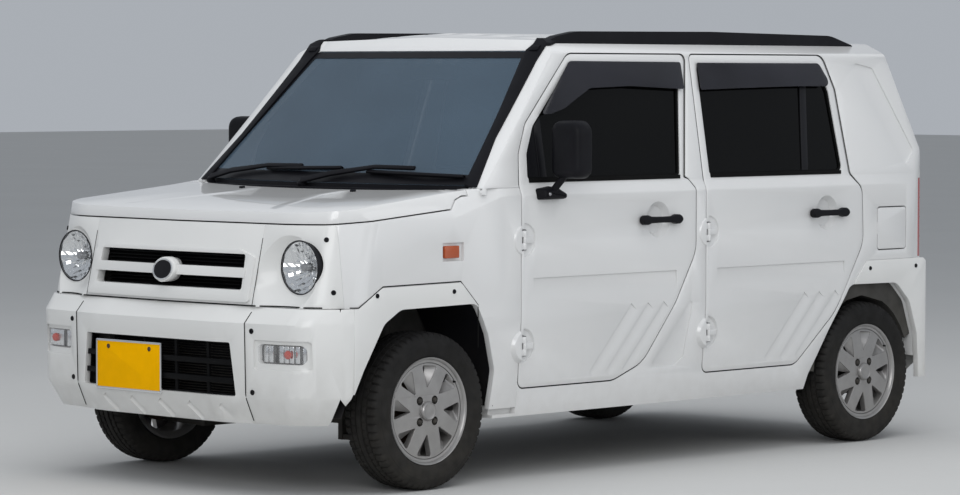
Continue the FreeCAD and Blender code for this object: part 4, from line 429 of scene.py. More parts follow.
def bar(name, points, width, height, mat, body="shell", bevel=0.0, up=(0, 0, 1)):
    """Rectangular bar along a path."""
    sections = []
    path = [Vector(p) for p in points]
    for i, here in enumerate(path):
        ahead = path[min(i + 1, len(path) - 1)] - path[max(i - 1, 0)]
        ahead.normalize()
        across = ahead.cross(Vector(up)).normalized()
        top = across.cross(ahead).normalized() * height / 2
        across *= (width[i] if isinstance(width, (list, tuple)) else width) / 2
        sections.append([here - across - top, here + across - top, here + across + top, here - across + top])
    return loft(name, sections, mat, body, bevel=bevel)


def tube(name, points, radius, mat, body="shell", sides=12):
    sections = []
    path = [Vector(p) for p in points]
    guide = Vector((0.3, 0.2, 0.93))
    for i, here in enumerate(path):
        ahead = (path[min(i + 1, len(path) - 1)] - path[max(i - 1, 0)]).normalized()
        across = ahead.cross(guide).normalized()
        top = across.cross(ahead)
        angles = [2 * math.pi * k / sides for k in range(sides)]
        sections.append([here + across * radius * math.cos(a) + top * radius * math.sin(a) for a in angles])
    return loft(name, sections, mat, body)


def block(name, low, high, mat, body="shell", bevel=4.0, turn=None):
    """Box with rounded edges; turn is (angle in degrees, axis letter) about its middle."""
    verts = [(x, y, z) for x in (low[0], high[0]) for y in (low[1], high[1]) for z in (low[2], high[2])]
    if turn:
        middle = (Vector(low) + Vector(high)) / 2
        spin = Matrix.Rotation(math.radians(turn[0]), 3, turn[1])
        verts = [tuple(middle + spin @ (Vector(v) - middle)) for v in verts]
    faces = [(0, 1, 3, 2), (4, 6, 7, 5), (0, 4, 5, 1), (2, 3, 7, 6), (0, 2, 6, 4), (1, 5, 7, 3)]
    return make_mesh(name, verts, faces, mat, body, bevel=bevel)


def side_block(name, side, xs, ys, zs, mat, body="shell", bevel=4.0):
    """Block given on the car's left; side -1 puts it on the right."""
    low_x, high_x = sorted((side * xs[0], side * xs[1]))
    return block(name, (low_x, ys[0], zs[0]), (high_x, ys[1], zs[1]), mat, body, bevel=bevel)


TREES = {}


def drop(node, start, direction):
    """Where a ray from start meets a solid's surface, and the surface's outward normal, in millimetres."""
    if node not in TREES:
        mesh = nodes[node].data
        verts = [v.co.copy() for v in mesh.vertices]
        TREES[node] = BVHTree.FromPolygons(verts, [tuple(p.vertices) for p in mesh.polygons])
    direction = Vector(direction).normalized()
    spot, normal, _, _ = TREES[node].ray_cast(Vector(start) * MM, direction)
    if spot is None:
        raise ValueError("no surface of " + node + " under " + str(start))
    if normal.dot(direction) > 0:
        normal = -normal
    return spot / MM, normal


BOLT_HEIGHT = 3.5


def bolt(name, node, start, direction, radius):
    """Round-headed fastener with a sunk socket, seated on a solid's surface."""
    spot, normal = drop(node, start, direction)
    profile = [(radius, -1.0), (radius, BOLT_HEIGHT * 0.4), (radius * 0.8, BOLT_HEIGHT),
               (radius * 0.45, BOLT_HEIGHT), (radius * 0.4, BOLT_HEIGHT * 0.3), (0.01, BOLT_HEIGHT * 0.25)]
    return lathe(name, profile, spot, normal, BLACK, steps=20)


SIDES = (("left", 1.0), ("right", -1.0))


# Tyres, brakes and wheel fittings
TREAD_BLOCKS = 60
BLOCK_DEPTH = 6.5


def make_tyre(name, side, y, body):
    """Tyre with four grooves round it, blocks on its shoulders and ribs on its wall."""
    half = [
        # across from the middle, radius, share of the block's groove
        (0.0, 265.8, 0.0), (9.0, 265.8, 0.0), (10.0, 258.5, 0.0), (16.0, 258.5, 0.0), (17.0, 265.6, 0.6),
        (33.0, 265.2, 0.6), (34.0, 258.0, 0.0), (40.0, 258.0, 0.0), (41.0, 264.8, 1.0), (55.0, 263.8, 1.0),
        (63.0, 261.8, 1.0), (69.0, 257.5, 1.0), (72.5, 251.0, 0.7), (74.5, 243.0, 0.0), (75.6, 241.5, 0.0),
        (76.2, 232.0, 0.0), (77.2, 231.0, 0.0), (77.4, 219.0, 0.0), (76.0, 204.0, 0.0), (73.5, 194.0, 0.0),
        (72.5, 189.0, 0.0), (69.0, 183.5, 0.0), (66.5, 182.0, 0.0), (62.0, 178.0, 0.0),
    ]
    profile = [(-x, r, g) for x, r, g in reversed(half[1:])] + half
    per = 5
    steps = TREAD_BLOCKS * per
    verts, faces = [], []
    for i in range(steps):
        for k, (x, r, g) in enumerate(profile):
            lag = 0 if x > 0 else 2
            phase = (i + lag + (1 if abs(x) < 35 else 0)) % per
            radius = r - (BLOCK_DEPTH * g if phase == 0 else 0.0)
            angle = 2 * math.pi * (i + 0.35 * (1 if x > 0 else -1) * abs(x) / 40.0) / steps
            ahead, up = radius * math.cos(angle), radius * math.sin(angle)
            verts.append((side * WHEEL_X + x, y + ahead, AXLE_Z + up))
    n = len(profile)
    for i in range(steps):
        j = (i + 1) % steps
        for k in range(n - 1):
            faces.append((i * n + k, i * n + k + 1, j * n + k + 1, j * n + k))
    return make_mesh(name, verts, faces, TYRE, body, crease=38.0)


WHEELS = (("front_left", 1.0, AXLE_F), ("front_right", -1.0, AXLE_F), ("rear_left", 1.0, AXLE_R),
          ("rear_right", -1.0, AXLE_R))
SPOKES = 8
FACE_OUT = 55.0
FACE_R = 161.0
FACE_DISH = 5.0
FACE_EDGE = 1.2
WALL_DEPTH = 20.0
WALL_SHARE = 0.45
NUT_CIRCLE_R = 50.0
NUT_HOLE_R = 14.5
SPOKE_WINDOW = [(0.0, 76.0, 3.0), (50.0, 148.0, 7.0), (-22.0, 155.0, 7.0)]


def turned(u, v, angle):
    return (u * math.cos(angle) + v * math.sin(angle), v * math.cos(angle) - u * math.sin(angle))


def circle(r, steps, u=0.0, v=0.0):
    angles = [2 * math.pi * i / steps for i in range(steps)]
    return [(u + r * math.cos(angle), v + r * math.sin(angle)) for angle in angles]


def nut_places():
    angles = [math.radians(45.0 + 90.0 * i) for i in range(4)]
    return [(NUT_CIRCLE_R * math.cos(angle), NUT_CIRCLE_R * math.sin(angle)) for angle in angles]


def make_wheel_face(name, side, y, body):
    """Pressed face with slanted windows and nut holes, cut from a filled outline."""
    loops = [circle(FACE_R, 120)]
    window = rounded(SPOKE_WINDOW, 4)
    for i in range(SPOKES):
        loops.append([turned(u, v, 2 * math.pi * i / SPOKES) for u, v in window])
    loops += [circle(NUT_HOLE_R, 28, u, v) for u, v in nut_places()]
    curve = bpy.data.curves.new(name, "CURVE")
    curve.dimensions = "2D"
    curve.fill_mode = "BOTH"
    curve.extrude = 1.6 * MM
    curve.bevel_depth = FACE_EDGE * MM
    curve.bevel_resolution = 2
    curve.offset = -FACE_EDGE * MM
    for loop in loops:
        line = curve.splines.new("POLY")
        line.points.add(len(loop) - 1)
        line.use_cyclic_u = True
        for spot, (u, v) in zip(line.points, loop):
            spot.co = (u * MM, v * MM, 0.0, 1.0)
    holder = add_object(name + "_outline", curve)
    mesh = bpy.data.meshes.new_from_object(holder.evaluated_get(bpy.context.evaluated_depsgraph_get()))
    bpy.data.objects.remove(holder)
    verts = []
    for v in mesh.vertices:
        u, w, out = v.co / MM
        dish = FACE_DISH * (1.0 - math.hypot(u, w) / FACE_R)
        verts.append((side * (WHEEL_X + FACE_OUT + out + dish), y + u, AXLE_Z + w))
    faces = [tuple(polygon.vertices) for polygon in mesh.polygons]
    bpy.data.meshes.remove(mesh)
    return make_mesh(name, verts, faces, ALLOY, body, crease=30.0)


def make_window_walls(name, side, y, body):
    """Funnel behind each window, one side of it sloped, joined in one piece."""
    window = rounded(SPOKE_WINDOW, 4)
    verts, faces = [], []
    n = len(window)
    for i in range(SPOKES):
        angle = 2 * math.pi * i / SPOKES
        base = len(verts)
        for u, v in window:
            left = SPOKE_WINDOW[2][0] * (v - SPOKE_WINDOW[0][1]) / (SPOKE_WINDOW[2][1] - SPOKE_WINDOW[0][1])
            dish = FACE_DISH * (1.0 - math.hypot(u, v) / FACE_R)
            for share, deep in ((1.0, dish), (WALL_SHARE, dish - WALL_DEPTH)):
                a, b = turned(left + (u - left) * share, v, angle)
                verts.append((side * (WHEEL_X + FACE_OUT + deep), y + a, AXLE_Z + b))
        for k in range(n):
            j = (k + 1) % n
            faces.append((base + 2 * k, base + 2 * j, base + 2 * j + 1, base + 2 * k + 1))
    return make_mesh(name, verts, faces, ALLOY, body, thickness=1.2, crease=50.0)


# Turned profiles of the wheel: radius, distance out from its middle or its seat
BARREL = [(159.0, 50.0), (164.0, 49.0), (169.0, 54.0), (172.5, 62.0), (176.0, 67.5), (180.6, 69.4),
          (181.0, 66.0), (180.0, 60.0), (163.0, 58.0), (163.0, -60.0), (181.0, -66.0), (180.0, -69.4),
          (174.0, -68.0), (157.0, -58.0), (155.0, 40.0)]
HUB = [(76.0, 40.0), (76.0, 52.0), (70.0, 54.0), (40.0, 54.0), (36.0, 40.0)]
NUT = [(10.8, -4.0), (10.8, 2.0), (9.8, 3.5), (9.8, 6.0), (7.0, 9.5), (0.01, 10.5)]
HUB_CAP = [(33.5, 40.0), (33.5, 64.0), (31.0, 71.0), (27.0, 73.5), (25.0, 72.3), (12.0, 74.0), (0.01, 74.4)]
VALVE = [(4.0, -14.0), (4.0, 2.0), (2.8, 4.0), (2.8, 9.0), (0.01, 10.0)]
VALVE_R, VALVE_ANGLE = 157.0, 0.62
DISC = [(52.0, 0.0), (52.0, 11.0), (78.0, 11.0), (79.0, 14.0), (117.0, 14.0), (118.0, 13.0), (118.0, 2.0),
        (117.0, 1.0), (79.0, 1.0), (78.0, 0.0)]
DISC_X = 634.0
for place, side, y in WHEELS:
    body = "wheel_" + place
    axis = (side, 0, 0)
    centre = (side * WHEEL_X, y, AXLE_Z)
    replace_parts(make_tyre("tyre_tread_" + place, side, y, body), "tyre_" + place)
    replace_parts(make_wheel_face("wheel_face_" + place, side, y, body), "rim_" + place)
    make_window_walls("wheel_windows_" + place, side, y, body)
    lathe("wheel_barrel_" + place, BARREL, centre, axis, ALLOY, body, steps=120, closed=True)
    lathe("wheel_hub_" + place, HUB, centre, axis, DARK_STEEL, body, steps=64, closed=True)
    for i, (u, v) in enumerate(nut_places()):
        spot = (side * (WHEEL_X + FACE_OUT), y + u, AXLE_Z + v)
        lathe("wheel_nut_%s_%d" % (place, i), NUT, spot, axis, DARK_STEEL, body, steps=6, smooth=False,
              bevel=0.6)
    lathe("hub_cap_" + place, HUB_CAP, centre, axis, ALLOY, body, steps=40)
    u, v = VALVE_R * math.cos(VALVE_ANGLE), VALVE_R * math.sin(VALVE_ANGLE)
    valve = (side * (WHEEL_X + 58.0), y + u, AXLE_Z + v)
    lathe("valve_" + place, VALVE, valve, axis, RUBBER_AND_GAP_SHADE, body, steps=14)
for name, side in SIDES:
    body = "wheel_front_" + name
    centre = (side * DISC_X, AXLE_F, AXLE_Z)
    lathe("brake_disc_" + name, DISC, centre, (side, 0, 0), RUST, body, steps=90, closed=True)
    side_block("brake_caliper_" + name, side, (622.0, 664.0), (AXLE_F + 78.0, AXLE_F + 134.0),
               (AXLE_Z - 42.0, AXLE_Z + 42.0), RUST, "upright_" + name, bevel=8.0)

# Wheel arch liners
ARCH_LINES = (
    # end, axle, places from the axle and heights along the arch
    ("front", AXLE_F, [(-400, 262), (-378, 322), (-321, 428), (-252, 545), (-205, 594), (-145, 618),
                       (205, 623), (242, 572), (277, 512), (300, 450), (313, 388), (318, 320), (316, 258)]),
    ("rear", AXLE_R, [(-338, 284), (-306, 328), (-236, 440), (-168, 530), (-112, 600), (0, 606),
                      (162, 603), (205, 570), (246, 527), (280, 450), (295, 392)]),
)
ARCH_X = {"front": (424.0, 708.0), "rear": (556.0, 700.0)}
REAR_LINER_R = 291.0
LINER_LIFT = 4.0
for end, axle, line in ARCH_LINES:
    inner, outer = ARCH_X[end]
    for name, side in SIDES:
        rows = []
        for dy, z in line:
            edge = (side * outer, axle + dy, z + LINER_LIFT)
            if end == "front":
                rows.append(((side * inner, axle + dy, z + LINER_LIFT), edge))
            else:
                share = REAR_LINER_R / math.hypot(dy, z - AXLE_Z)
                on_arc = (axle + dy * share, AXLE_Z + (z - AXLE_Z) * share)
                hub = (axle + dy * share * 0.4, AXLE_Z + (z - AXLE_Z) * share * 0.4)
                deep, near = side * inner, side * (outer - 2.0)
                rows.append(((deep,) + hub, (deep,) + on_arc, (near,) + on_arc, edge))
        sheet("arch_liner_%s_%s" % (end, name), rows, BLACK if end == "front" else UNDERSEAL, thickness=2.0)

# Headlamps, indicators and repeaters
LAMP_X, LAMP_Y, LAMP_Z = 569.0, -1564.0, 758.0
SECTORS = 40


def reflector(name, middle):
    """Bowl of flat facets, every other pair of sectors set deeper, the pattern shifted by one pair from ring
    to ring.
    """
    verts, faces = [], []
    for k, r in enumerate(FACET_RINGS):
        for j in range(SECTORS):
            angle = 2 * math.pi * j / SECTORS
            deep = 6.0 + BOWL_DEPTH * (1.0 - (r / BOWL_R) ** 2) + (FACET_DEPTH if (j // 2 + k) % 2 else 0.0)
            verts.append(tuple(middle + Vector((r * math.cos(angle), deep, r * math.sin(angle)))))
    for k in range(len(FACET_RINGS) - 1):
        for j in range(SECTORS):
            a, b = k * SECTORS + j, k * SECTORS + (j + 1) % SECTORS
            faces.append((a, b, b + SECTORS, a + SECTORS))
    return make_mesh(name, verts, faces, CHROME, smooth=False, thickness=1.2)


BOWL_R, BOWL_DEPTH, FACET_DEPTH = 86.0, 42.0, 3.2
FACET_RINGS = (BOWL_R, 75.0, 64.0, 53.0, 42.0, 31.0, 20.0, 15.0)
LENS_R, LENS_BULGE = 86.4, 8.0
# Turned profiles of the lamps: radius, distance back from the lens's edge
LAMP_RIM = [(89.6, -1.0), (89.6, 10.0), (86.5, 10.0), (86.0, 1.0), (87.5, -2.5)]
LAMP_BULB = [(11.0, 52.0), (11.0, 30.0), (14.0, 29.0), (14.0, 20.0), (11.5, 16.5), (0.01, 15.0)]
LAMP_PARK = [(7.0, 16.0), (7.0, 4.0), (4.5, 0.5), (0.01, -1.0)]
LAMP_LENS = [(LENS_R, 0.0)]
LAMP_LENS += [(r, -LENS_BULGE * (1.0 - (r / LENS_R) ** 2)) for r in (80, 68, 54, 40, 26, 12)]
LAMP_LENS += [(0.01, -LENS_BULGE)]
LAMP_POT = [(89.4, 8.0), (89.4, 18.0), (34.0, 68.0), (0.01, 68.0), (0.01, 62.0), (32.0, 62.0), (86.0, 14.0),
            (86.0, 8.0)]
INDICATOR_BULB = [(5.0, 20.0), (13.0, 18.0), (15.0, 13.0), (13.0, 8.0), (7.0, 5.0), (0.01, 4.4)]
INDICATOR_Z = 476.0
BULB_X = 590.0
CELLS, CELL_X, CELL_STEP, CELL_HALF, CELL_BACK = 8, 492.5, 21.1, 10.3, 19.6
DIVIDER_CELL = 2
for name, side in SIDES:
    middle = Vector((side * LAMP_X, LAMP_Y, LAMP_Z))
    reflector("headlamp_reflector_" + name, middle)
    lathe("headlamp_rim_" + name, LAMP_RIM, middle, BACK, SATIN, steps=72, closed=True)
    lathe("headlamp_bulb_" + name, LAMP_BULB, middle, BACK, STEEL, steps=28)
    park = middle + Vector((side * 34.0, 26.0, -34.0))
    lathe("headlamp_park_" + name, LAMP_PARK, park, BACK, CHROME, steps=20)
    glass = lathe("headlamp_lens_" + name, LAMP_LENS, middle, BACK, LENS)
    lathe("headlamp_pot_" + name, LAMP_POT, middle, BACK, BLACK, steps=40, closed=True)
    if side > 0:
        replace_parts(glass, "headlamps")

    # the cells behind each front indicator's lens, its bulb and its divider
    for k in range(CELLS):
        x = CELL_X + CELL_STEP * k
        y = drop("indicator_lamps", (side * x, -2000.0, INDICATOR_Z), BACK)[0].y + CELL_BACK
        block("indicator_cell_%s_%d" % (name, k), (side * x - CELL_HALF, y, INDICATOR_Z - 29.0),
              (side * x + CELL_HALF, y + 6.0, INDICATOR_Z + 29.0), BLACK if k == DIVIDER_CELL else CHROME,
              bevel=3.0)
    y = drop("indicator_lamps", (side * BULB_X, -2000.0, INDICATOR_Z), BACK)[0].y
    lathe("indicator_bulb_" + name, INDICATOR_BULB, (side * BULB_X, y, INDICATOR_Z), BACK, BULB, steps=24)
    x = drop("front_fenders", (side * 1000.0, -1035.0, 845.0), (-side, 0, 0))[0].x * side
    side_block("side_repeater_" + name, side, (x - 10.0, x + 5.0), (-1053.0, -984.0), (776.0, 818.0), AMBER)
    side_block("repeater_seat_" + name, side, (x - 12.0, x - 9.0), (-1061.0, -959.0), (767.0, 828.0), PAINT,
               bevel=1.0)
nodes["indicator_lamps"].data.materials[0] = FLUTED

# Front plate, blank, in its frame
PLATE_X, PLATE_Z, PLATE_Y = -135.0, 405.0, -1694.5
PLATE_HALF = (168.0, 85.0)
PLATE_BOLT = [(8.0, -1.0), (8.0, 2.0), (5.5, 4.5), (0.01, 5.0)]
PLATE_BOLT_X, PLATE_BOLT_Z = 105.0, 61.0


def on_plate(out):
    return lambda u, v: (PLATE_X + u, PLATE_Y + out, PLATE_Z + v)


plate_edge = oblong(*PLATE_HALF, 6.0, 4)
strip_on("plate_frame", plate_edge, inset(plate_edge, 7.0), on_plate(0.0), CHROME, thickness=5.0, bevel=1.2)
panel_on("plate_blank", inset(plate_edge, 4.0), on_plate(0.5), PLATE, thickness=1.6, bevel=0.5)
for k, x in enumerate((-PLATE_BOLT_X, PLATE_BOLT_X)):
    spot = (PLATE_X + x, PLATE_Y + 0.5, PLATE_Z + PLATE_BOLT_Z)
    lathe("plate_bolt_%d" % k, PLATE_BOLT, spot, (0, -1, 0), RUST, steps=18)
block("plate_bracket", (PLATE_X - 120.0, PLATE_Y + 3.0, PLATE_Z + 20.0),
      (PLATE_X + 120.0, PLATE_Y + 26.0, PLATE_Z + 50.0), DARK_STEEL, bevel=2.0)

# Badge place and the dark screens behind both grilles
BADGE_STRETCH = 1.38


def oval(name, profile, centre, mat, **options):
    """Turned form on the nose, drawn out sideways and laid back with the nose's slope."""
    piece = lathe(name, profile, centre, (0, -1, 0), mat, steps=56, **options)
    for v in piece.data.vertices:
        v.co.x *= BADGE_STRETCH
        v.co.y += (v.co.z - centre[2] * MM) * BADGE_SLOPE
    return piece


BOSS_LOW, BOSS_Z, BOSS_HIGH = 712.0, 736.0, 760.0
boss_low = drop("grille_panel", (0, -1900, BOSS_LOW), BACK)[0]
boss_high = drop("grille_panel", (0, -1900, BOSS_HIGH), BACK)[0]
BADGE_SLOPE = (boss_high.y - boss_low.y) / (boss_high.z - boss_low.z)
boss = Vector((0.0, (boss_low.y + boss_high.y) / 2 - 1.0, BOSS_Z))
oval("badge_boss", [(41.0, -24.0), (41.0, -3.0), (39.5, 0.5), (36.5, 2.0), (0.01, 2.2)], boss, BUMPER)
BADGE_RING = [(33.0, 1.5), (35.0, 2.5), (35.2, 5.0), (33.2, 6.6), (31.0, 5.0), (31.0, 2.0)]
oval("badge_ring", BADGE_RING, boss, CHROME, closed=True)
oval("badge_field", [(32.0, 1.0), (31.4, 3.0), (16.0, 4.0), (0.01, 4.3)], boss, SATIN)
LOUVRE_Z, LOUVRE_STEP = 681.0, 12.0
for k in range(10):
    z = LOUVRE_Z + LOUVRE_STEP * k
    block("grille_louvre_%d" % k, (-360.0, -1590.0, z), (360.0, -1572.0, z + 3.0), DEEP, bevel=0.8,
          turn=(18.0, "X"))
block("grille_back", (-372.0, -1568.0, 668.0), (372.0, -1564.0, 806.0), DEEP, bevel=1.0)
FIN_Z, FIN_STEP = 322.0, 9.0
for k in range(22):
    z = FIN_Z + FIN_STEP * k
    block("condenser_fin_%d" % k, (-380.0, -1588.0, z), (380.0, -1572.0, z + 2.0), DARK_STEEL, bevel=0.4)
block("condenser_core", (-385.0, -1572.0, 315.0), (385.0, -1562.0, 518.0), BLACK, bevel=2.0)

# Fasteners of the bolt-on corners and panels
SIDE_BOLTS = (
    # name, solid, places along the car and heights, radius of the head
    ("panel_bolt", "headlamp_panels", ((-1525.0, 851.0), (-1525.0, 679.0)), 8.5),
    ("flare_bolt_front", "front_bumper", ((-1372.0, 664.0), (-1010.0, 664.0)), 8.0),
    ("flare_bolt_rear", "rear_bumper", ((1253.0, 660.0), (1537.0, 660.0)), 8.0),
)
for name, side in SIDES:
    for k, z in enumerate((549.0, 347.0)):
        bolt("bumper_bolt_%s_%d" % (name, k), "front_bumper", (side * 455.0, -2000.0, z), BACK, 9.0)
    for what, node, spots, radius in SIDE_BOLTS:
        for k, (y, z) in enumerate(spots):
            bolt("%s_%s_%d" % (what, name, k), node, (side * 1000.0, y, z), (-side, 0, 0), radius)

# Dark ribbons along the panel joints and dark rings in the door gaps: painted shade, standing in for the
# shadow inside the gaps
SEAM_LIFT = 0.5


def gap_shade_ribbon(name, path, width, lift=SEAM_LIFT):
    """Dark ribbon along (place, outward normal) pairs, a hair above the surface: painted shade of a panel
    gap.
    """
    sections = []
    for i, (spot, normal) in enumerate(path):
        ahead = path[min(i + 1, len(path) - 1)][0] - path[max(i - 1, 0)][0]
        across = normal.cross(ahead).normalized() * width / 2
        out = normal * lift
        sections.append([spot - across - out, spot - across + out, spot + across + out, spot + across - out])
    return loft(name, sections, RUBBER_AND_GAP_SHADE, smooth=False)


NOSE_FOOT_Z = 629.5
GRILLE_SEAM_X = 420.0
BUMPER_SEAM_X = 427.0
SIDE_SEAM_Y = -1497.0
FLARE_LINE = [(-1494.0, 629.5), (-1452.0, 627.5), (-1342.0, 692.5), (-974.0, 696.5), (-889.5, 613.5),
              (-889.5, 470.0)]


def front_of(node, x, z):
    return drop(node, (x, -2200.0, z), BACK)


foot = []
for i in range(57):
    x = -672.0 + 24.0 * i
    panel = "grille_panel" if abs(x) < GRILLE_SEAM_X else "headlamp_panels"
    foot.append(front_of(panel, x, NOSE_FOOT_Z))
gap_shade_ribbon("seam_shade_nose_foot", foot, 4.6, lift=1.4)
for name, side in SIDES:
    upright = [front_of("grille_panel", side * (GRILLE_SEAM_X - 4.0), 632.0 + 20.0 * i) for i in range(12)]
    upright = [(Vector((side * GRILLE_SEAM_X, spot.y, spot.z)), normal) for spot, normal in upright]
    gap_shade_ribbon("seam_shade_lamp_panel_" + name, upright, 2.4)
    lower = []
    for i in range(21):
        outer, middle = [front_of("front_bumper", side * (BUMPER_SEAM_X + away), 250.0 + 18.0 * i)[0]
                         for away in (6.0, -6.0)]
        lower.append((Vector((side * BUMPER_SEAM_X, min(outer.y, middle.y), outer.z)),
                      Vector((0.0, -1.0, 0.0))))
    gap_shade_ribbon("seam_shade_bumper_" + name, lower, 3.4)
    edge = [drop("headlamp_panels", (side * 1200.0, SIDE_SEAM_Y - 5.0, 634.0 + 20.0 * i), (-side, 0, 0))
            for i in range(13)]
    edge = [(Vector((spot.x, SIDE_SEAM_Y, spot.z)), normal) for spot, normal in edge]
    gap_shade_ribbon("seam_shade_nose_side_" + name, edge, 2.6)
    flat = Vector((side, 0.0, 0.0))
    gap_shade_ribbon("seam_front_flare_" + name, [(Vector((side * SIDE_X, y, z)), flat) for y, z in FLARE_LINE], 4.0)
DOOR_LINES = {
    "front": [(-673.0, 318.0, 25.0), (-185.0, 318.0, 120.0), (-33.0, 373.0, 150.0), (132.0, 584.0, 200.0),
              (240.0, 760.0, 120.0), (240.0, 985.0, 25.0), (213.0, 1018.0, 12.0), (195.0, 1024.0, 10.0),
              (282.0, 1464.0, 20.0), (-345.0, 1464.0, 60.0), (-604.0, 1222.0, 60.0), (-655.0, 1120.0, 40.0),
              (-673.0, 1008.0, 40.0)],
    "rear": [(300.0, 318.0, 25.0), (829.0, 318.0, 70.0), (1045.0, 500.0, 250.0), (1213.0, 760.0, 120.0),
             (1205.0, 960.0, 60.0), (1150.0, 1022.0, 30.0), (1125.0, 1337.0, 60.0), (1074.0, 1464.0, 45.0),
             (305.0, 1464.0, 20.0), (300.0, 1010.0, 20.0)],
}
# Dark rings 2.8 mm inside the door shut lines: painted shade that makes the gaps read as shadowed
for end, line in DOOR_LINES.items():
    outline = rounded(line)
    for name, side in SIDES:
        outer, inner = inset(outline, -4.3), inset(outline, -0.7)
        strip_on("door_gap_%s_%s" % (end, name), outer, inner, on_side(side, -2.8), RUBBER_AND_GAP_SHADE,
                 thickness=1.0)

# Roof skin with its pressed beads, crowned between the rails
BEADS = (-420.0, -280.0, -140.0, 0.0, 140.0, 280.0, 420.0)
BEAD_DEPTH = 4.0
BEAD_HALF, BEAD_EDGE = 18.0, 25.0
ROOF_HALF, ROOF_FRONT, ROOF_REAR = 512.0, -392.0, 1384.0
ROOF_Z, CROWN = 1525.0, 17.5
ROOF_DROP, ROOF_DROP_AT = 13.0, 560.0
ROOF_SINK = -1.2
across = [-ROOF_HALF, -490.0, -462.0]
for middle in BEADS:
    across += [middle - BEAD_EDGE, middle - BEAD_HALF, middle + BEAD_HALF, middle + BEAD_EDGE]
    if middle < BEADS[-1]:
        across.append(middle + 70.0)
across += [462.0, 490.0, ROOF_HALF]
along = [ROOF_FRONT, -375.0, -350.0, -320.0, -304.0, -294.0, -270.0, -240.0, -200.0]
along += [-100.0 + 100.0 * i for i in range(14)] + [1296.0, 1310.0, 1322.0, 1350.0, ROOF_REAR]
rows = []
for y in along:
    run = min(1.0, (y - ROOF_FRONT) / 150.0, (ROOF_REAR - y) / 60.0)
    run = run * run * (3.0 - 2.0 * run)
    row = []
    for x in across:
        rise = CROWN * (1.0 - (x / ROOF_HALF) ** 2) * run + ROOF_SINK * (1.0 - run)
        if abs(x) == ROOF_HALF:
            rise = ROOF_SINK
        in_bead = any(abs(x - middle) < BEAD_HALF + 2.0 for middle in BEADS) and -300.0 < y < 1318.0
        groove = BEAD_DEPTH if in_bead else 0.0
        row.append((x, y, ROOF_Z - ROOF_DROP * abs(x) / ROOF_DROP_AT + max(rise - groove * run, ROOF_SINK)))
    rows.append(row)
crown = sheet("roof_skin", rows, PAINT, crease=60.0)
modify(crown, "sheet", "SOLIDIFY", thickness=0.8 * MM, offset=-1.0)

# Window seals, dividers and smoked visors
FRONT_VISOR = [(-540.0, 1254.0, 6.0), (-487.0, 1257.0, 30.0), (-413.0, 1276.0, 60.0), (-355.0, 1304.0, 80.0),
               (-264.0, 1345.0, 60.0), (-52.0, 1352.0, 80.0), (124.0, 1345.0, 60.0), (240.0, 1341.0, 8.0),
               (247.0, 1438.0, 8.0), (-346.0, 1440.0, 30.0)]
REAR_VISOR = [(333.0, 1338.0, 6.0), (571.0, 1344.0, 60.0), (863.0, 1350.0, 60.0), (1092.0, 1350.0, 20.0),
              (1042.0, 1436.0, 25.0), (336.0, 1436.0, 8.0)]
VISOR_TOP = 1436.0
BELT_STRIP_Z = 1031.0


def on_visor(side):
    """Places on a visor, which stands off the glass more and more towards its lower edge."""
    return lambda y, z: (side * (side_x(z) + 5.0 + 9.0 * max(0.0, (VISOR_TOP - z) / 100.0)), y, z)


DOORS = (("front", FRONT_WINDOW, FRONT_VISOR), ("rear", REAR_WINDOW, REAR_VISOR))
for end, window, visor in DOORS:
    for name, side in SIDES:
        body = "%s_%s_door" % (end, name)
        edge = inset(rounded(window), -0.5)
        strip_on("window_seal_%s_%s" % (end, name), edge, inset(edge, 9.0), on_side(side, -7.0), RUBBER_AND_GAP_SHADE, body,
                 thickness=5.0)
        ys = sorted(y for y, z in edge if z < BELT_STRIP_Z)
        x = side * (side_x(BELT_STRIP_Z) + 1.0)
        bar("belt_strip_%s_%s" % (end, name), [(x, ys[0] - 6.0, 1028.0), (x, ys[-1] + 6.0, 1028.0)], 7.0,
            14.0, RUBBER_AND_GAP_SHADE, body, bevel=1.5)
        panel_on("visor_%s_%s" % (end, name), rounded(visor, 4), on_visor(side), SMOKE, body, thickness=2.0,
                 bevel=0.6)
QUARTER_BAR = [(-559.0, 1034.0), (-523.0, 1034.0), (-523.0, 1262.0), (-559.0, 1226.0)]
REAR_DIVIDER = [(874.0, 1034.0), (910.0, 1034.0), (972.0, 1428.0), (936.0, 1428.0)]
MIRROR_SAIL = [(-618.0, 1034.0), (-560.0, 1034.0), (-560.0, 1218.0), (-610.0, 1130.0)]
MIRROR_X, MIRROR_GLASS_Y = 824.0, -491.0
for name, side in SIDES:
    front_door, rear_door = "front_%s_door" % name, "rear_%s_door" % name
    place = on_side(side, -8.0)
    panel_on("quarter_bar_" + name, QUARTER_BAR, place, SATIN, front_door, thickness=6.0, bevel=1.5)
    panel_on("rear_divider_" + name, REAR_DIVIDER, place, SATIN, rear_door, thickness=6.0, bevel=1.5)
    panel_on("mirror_sail_" + name, MIRROR_SAIL, on_side(side, -9.0), BLACK, front_door, thickness=4.0,
             bevel=1.0)
    x = side * MIRROR_X
    mirror_glass = rounded([(x - 60.0, 1046.0, 24.0), (x + 60.0, 1046.0, 24.0), (x + 60.0, 1225.0, 30.0),
                            (x - 60.0, 1225.0, 26.0)])
    panel_on("mirror_face_" + name, mirror_glass, lambda u, v: (u, MIRROR_GLASS_Y, v), MIRROR, front_door,
             thickness=2.0)

# Door handles and outer mirrors
HANDLE_Z = 878.0
HANDLE_OUT = 28.0
SQUARENESS = 0.6
HANDLE_FORM = (
    # distance from the middle, half height, depth of the inner face from the door
    (105.0, 5.0, 6.0), (103.5, 10.0, 3.0), (100.0, 14.0, 1.2), (94.0, 17.0, 1.0), (76.0, 17.5, 1.0),
    (68.0, 15.5, 1.0), (62.0, 12.5, 10.0), (40.0, 11.5, 13.0), (0.0, 11.0, 14.0))


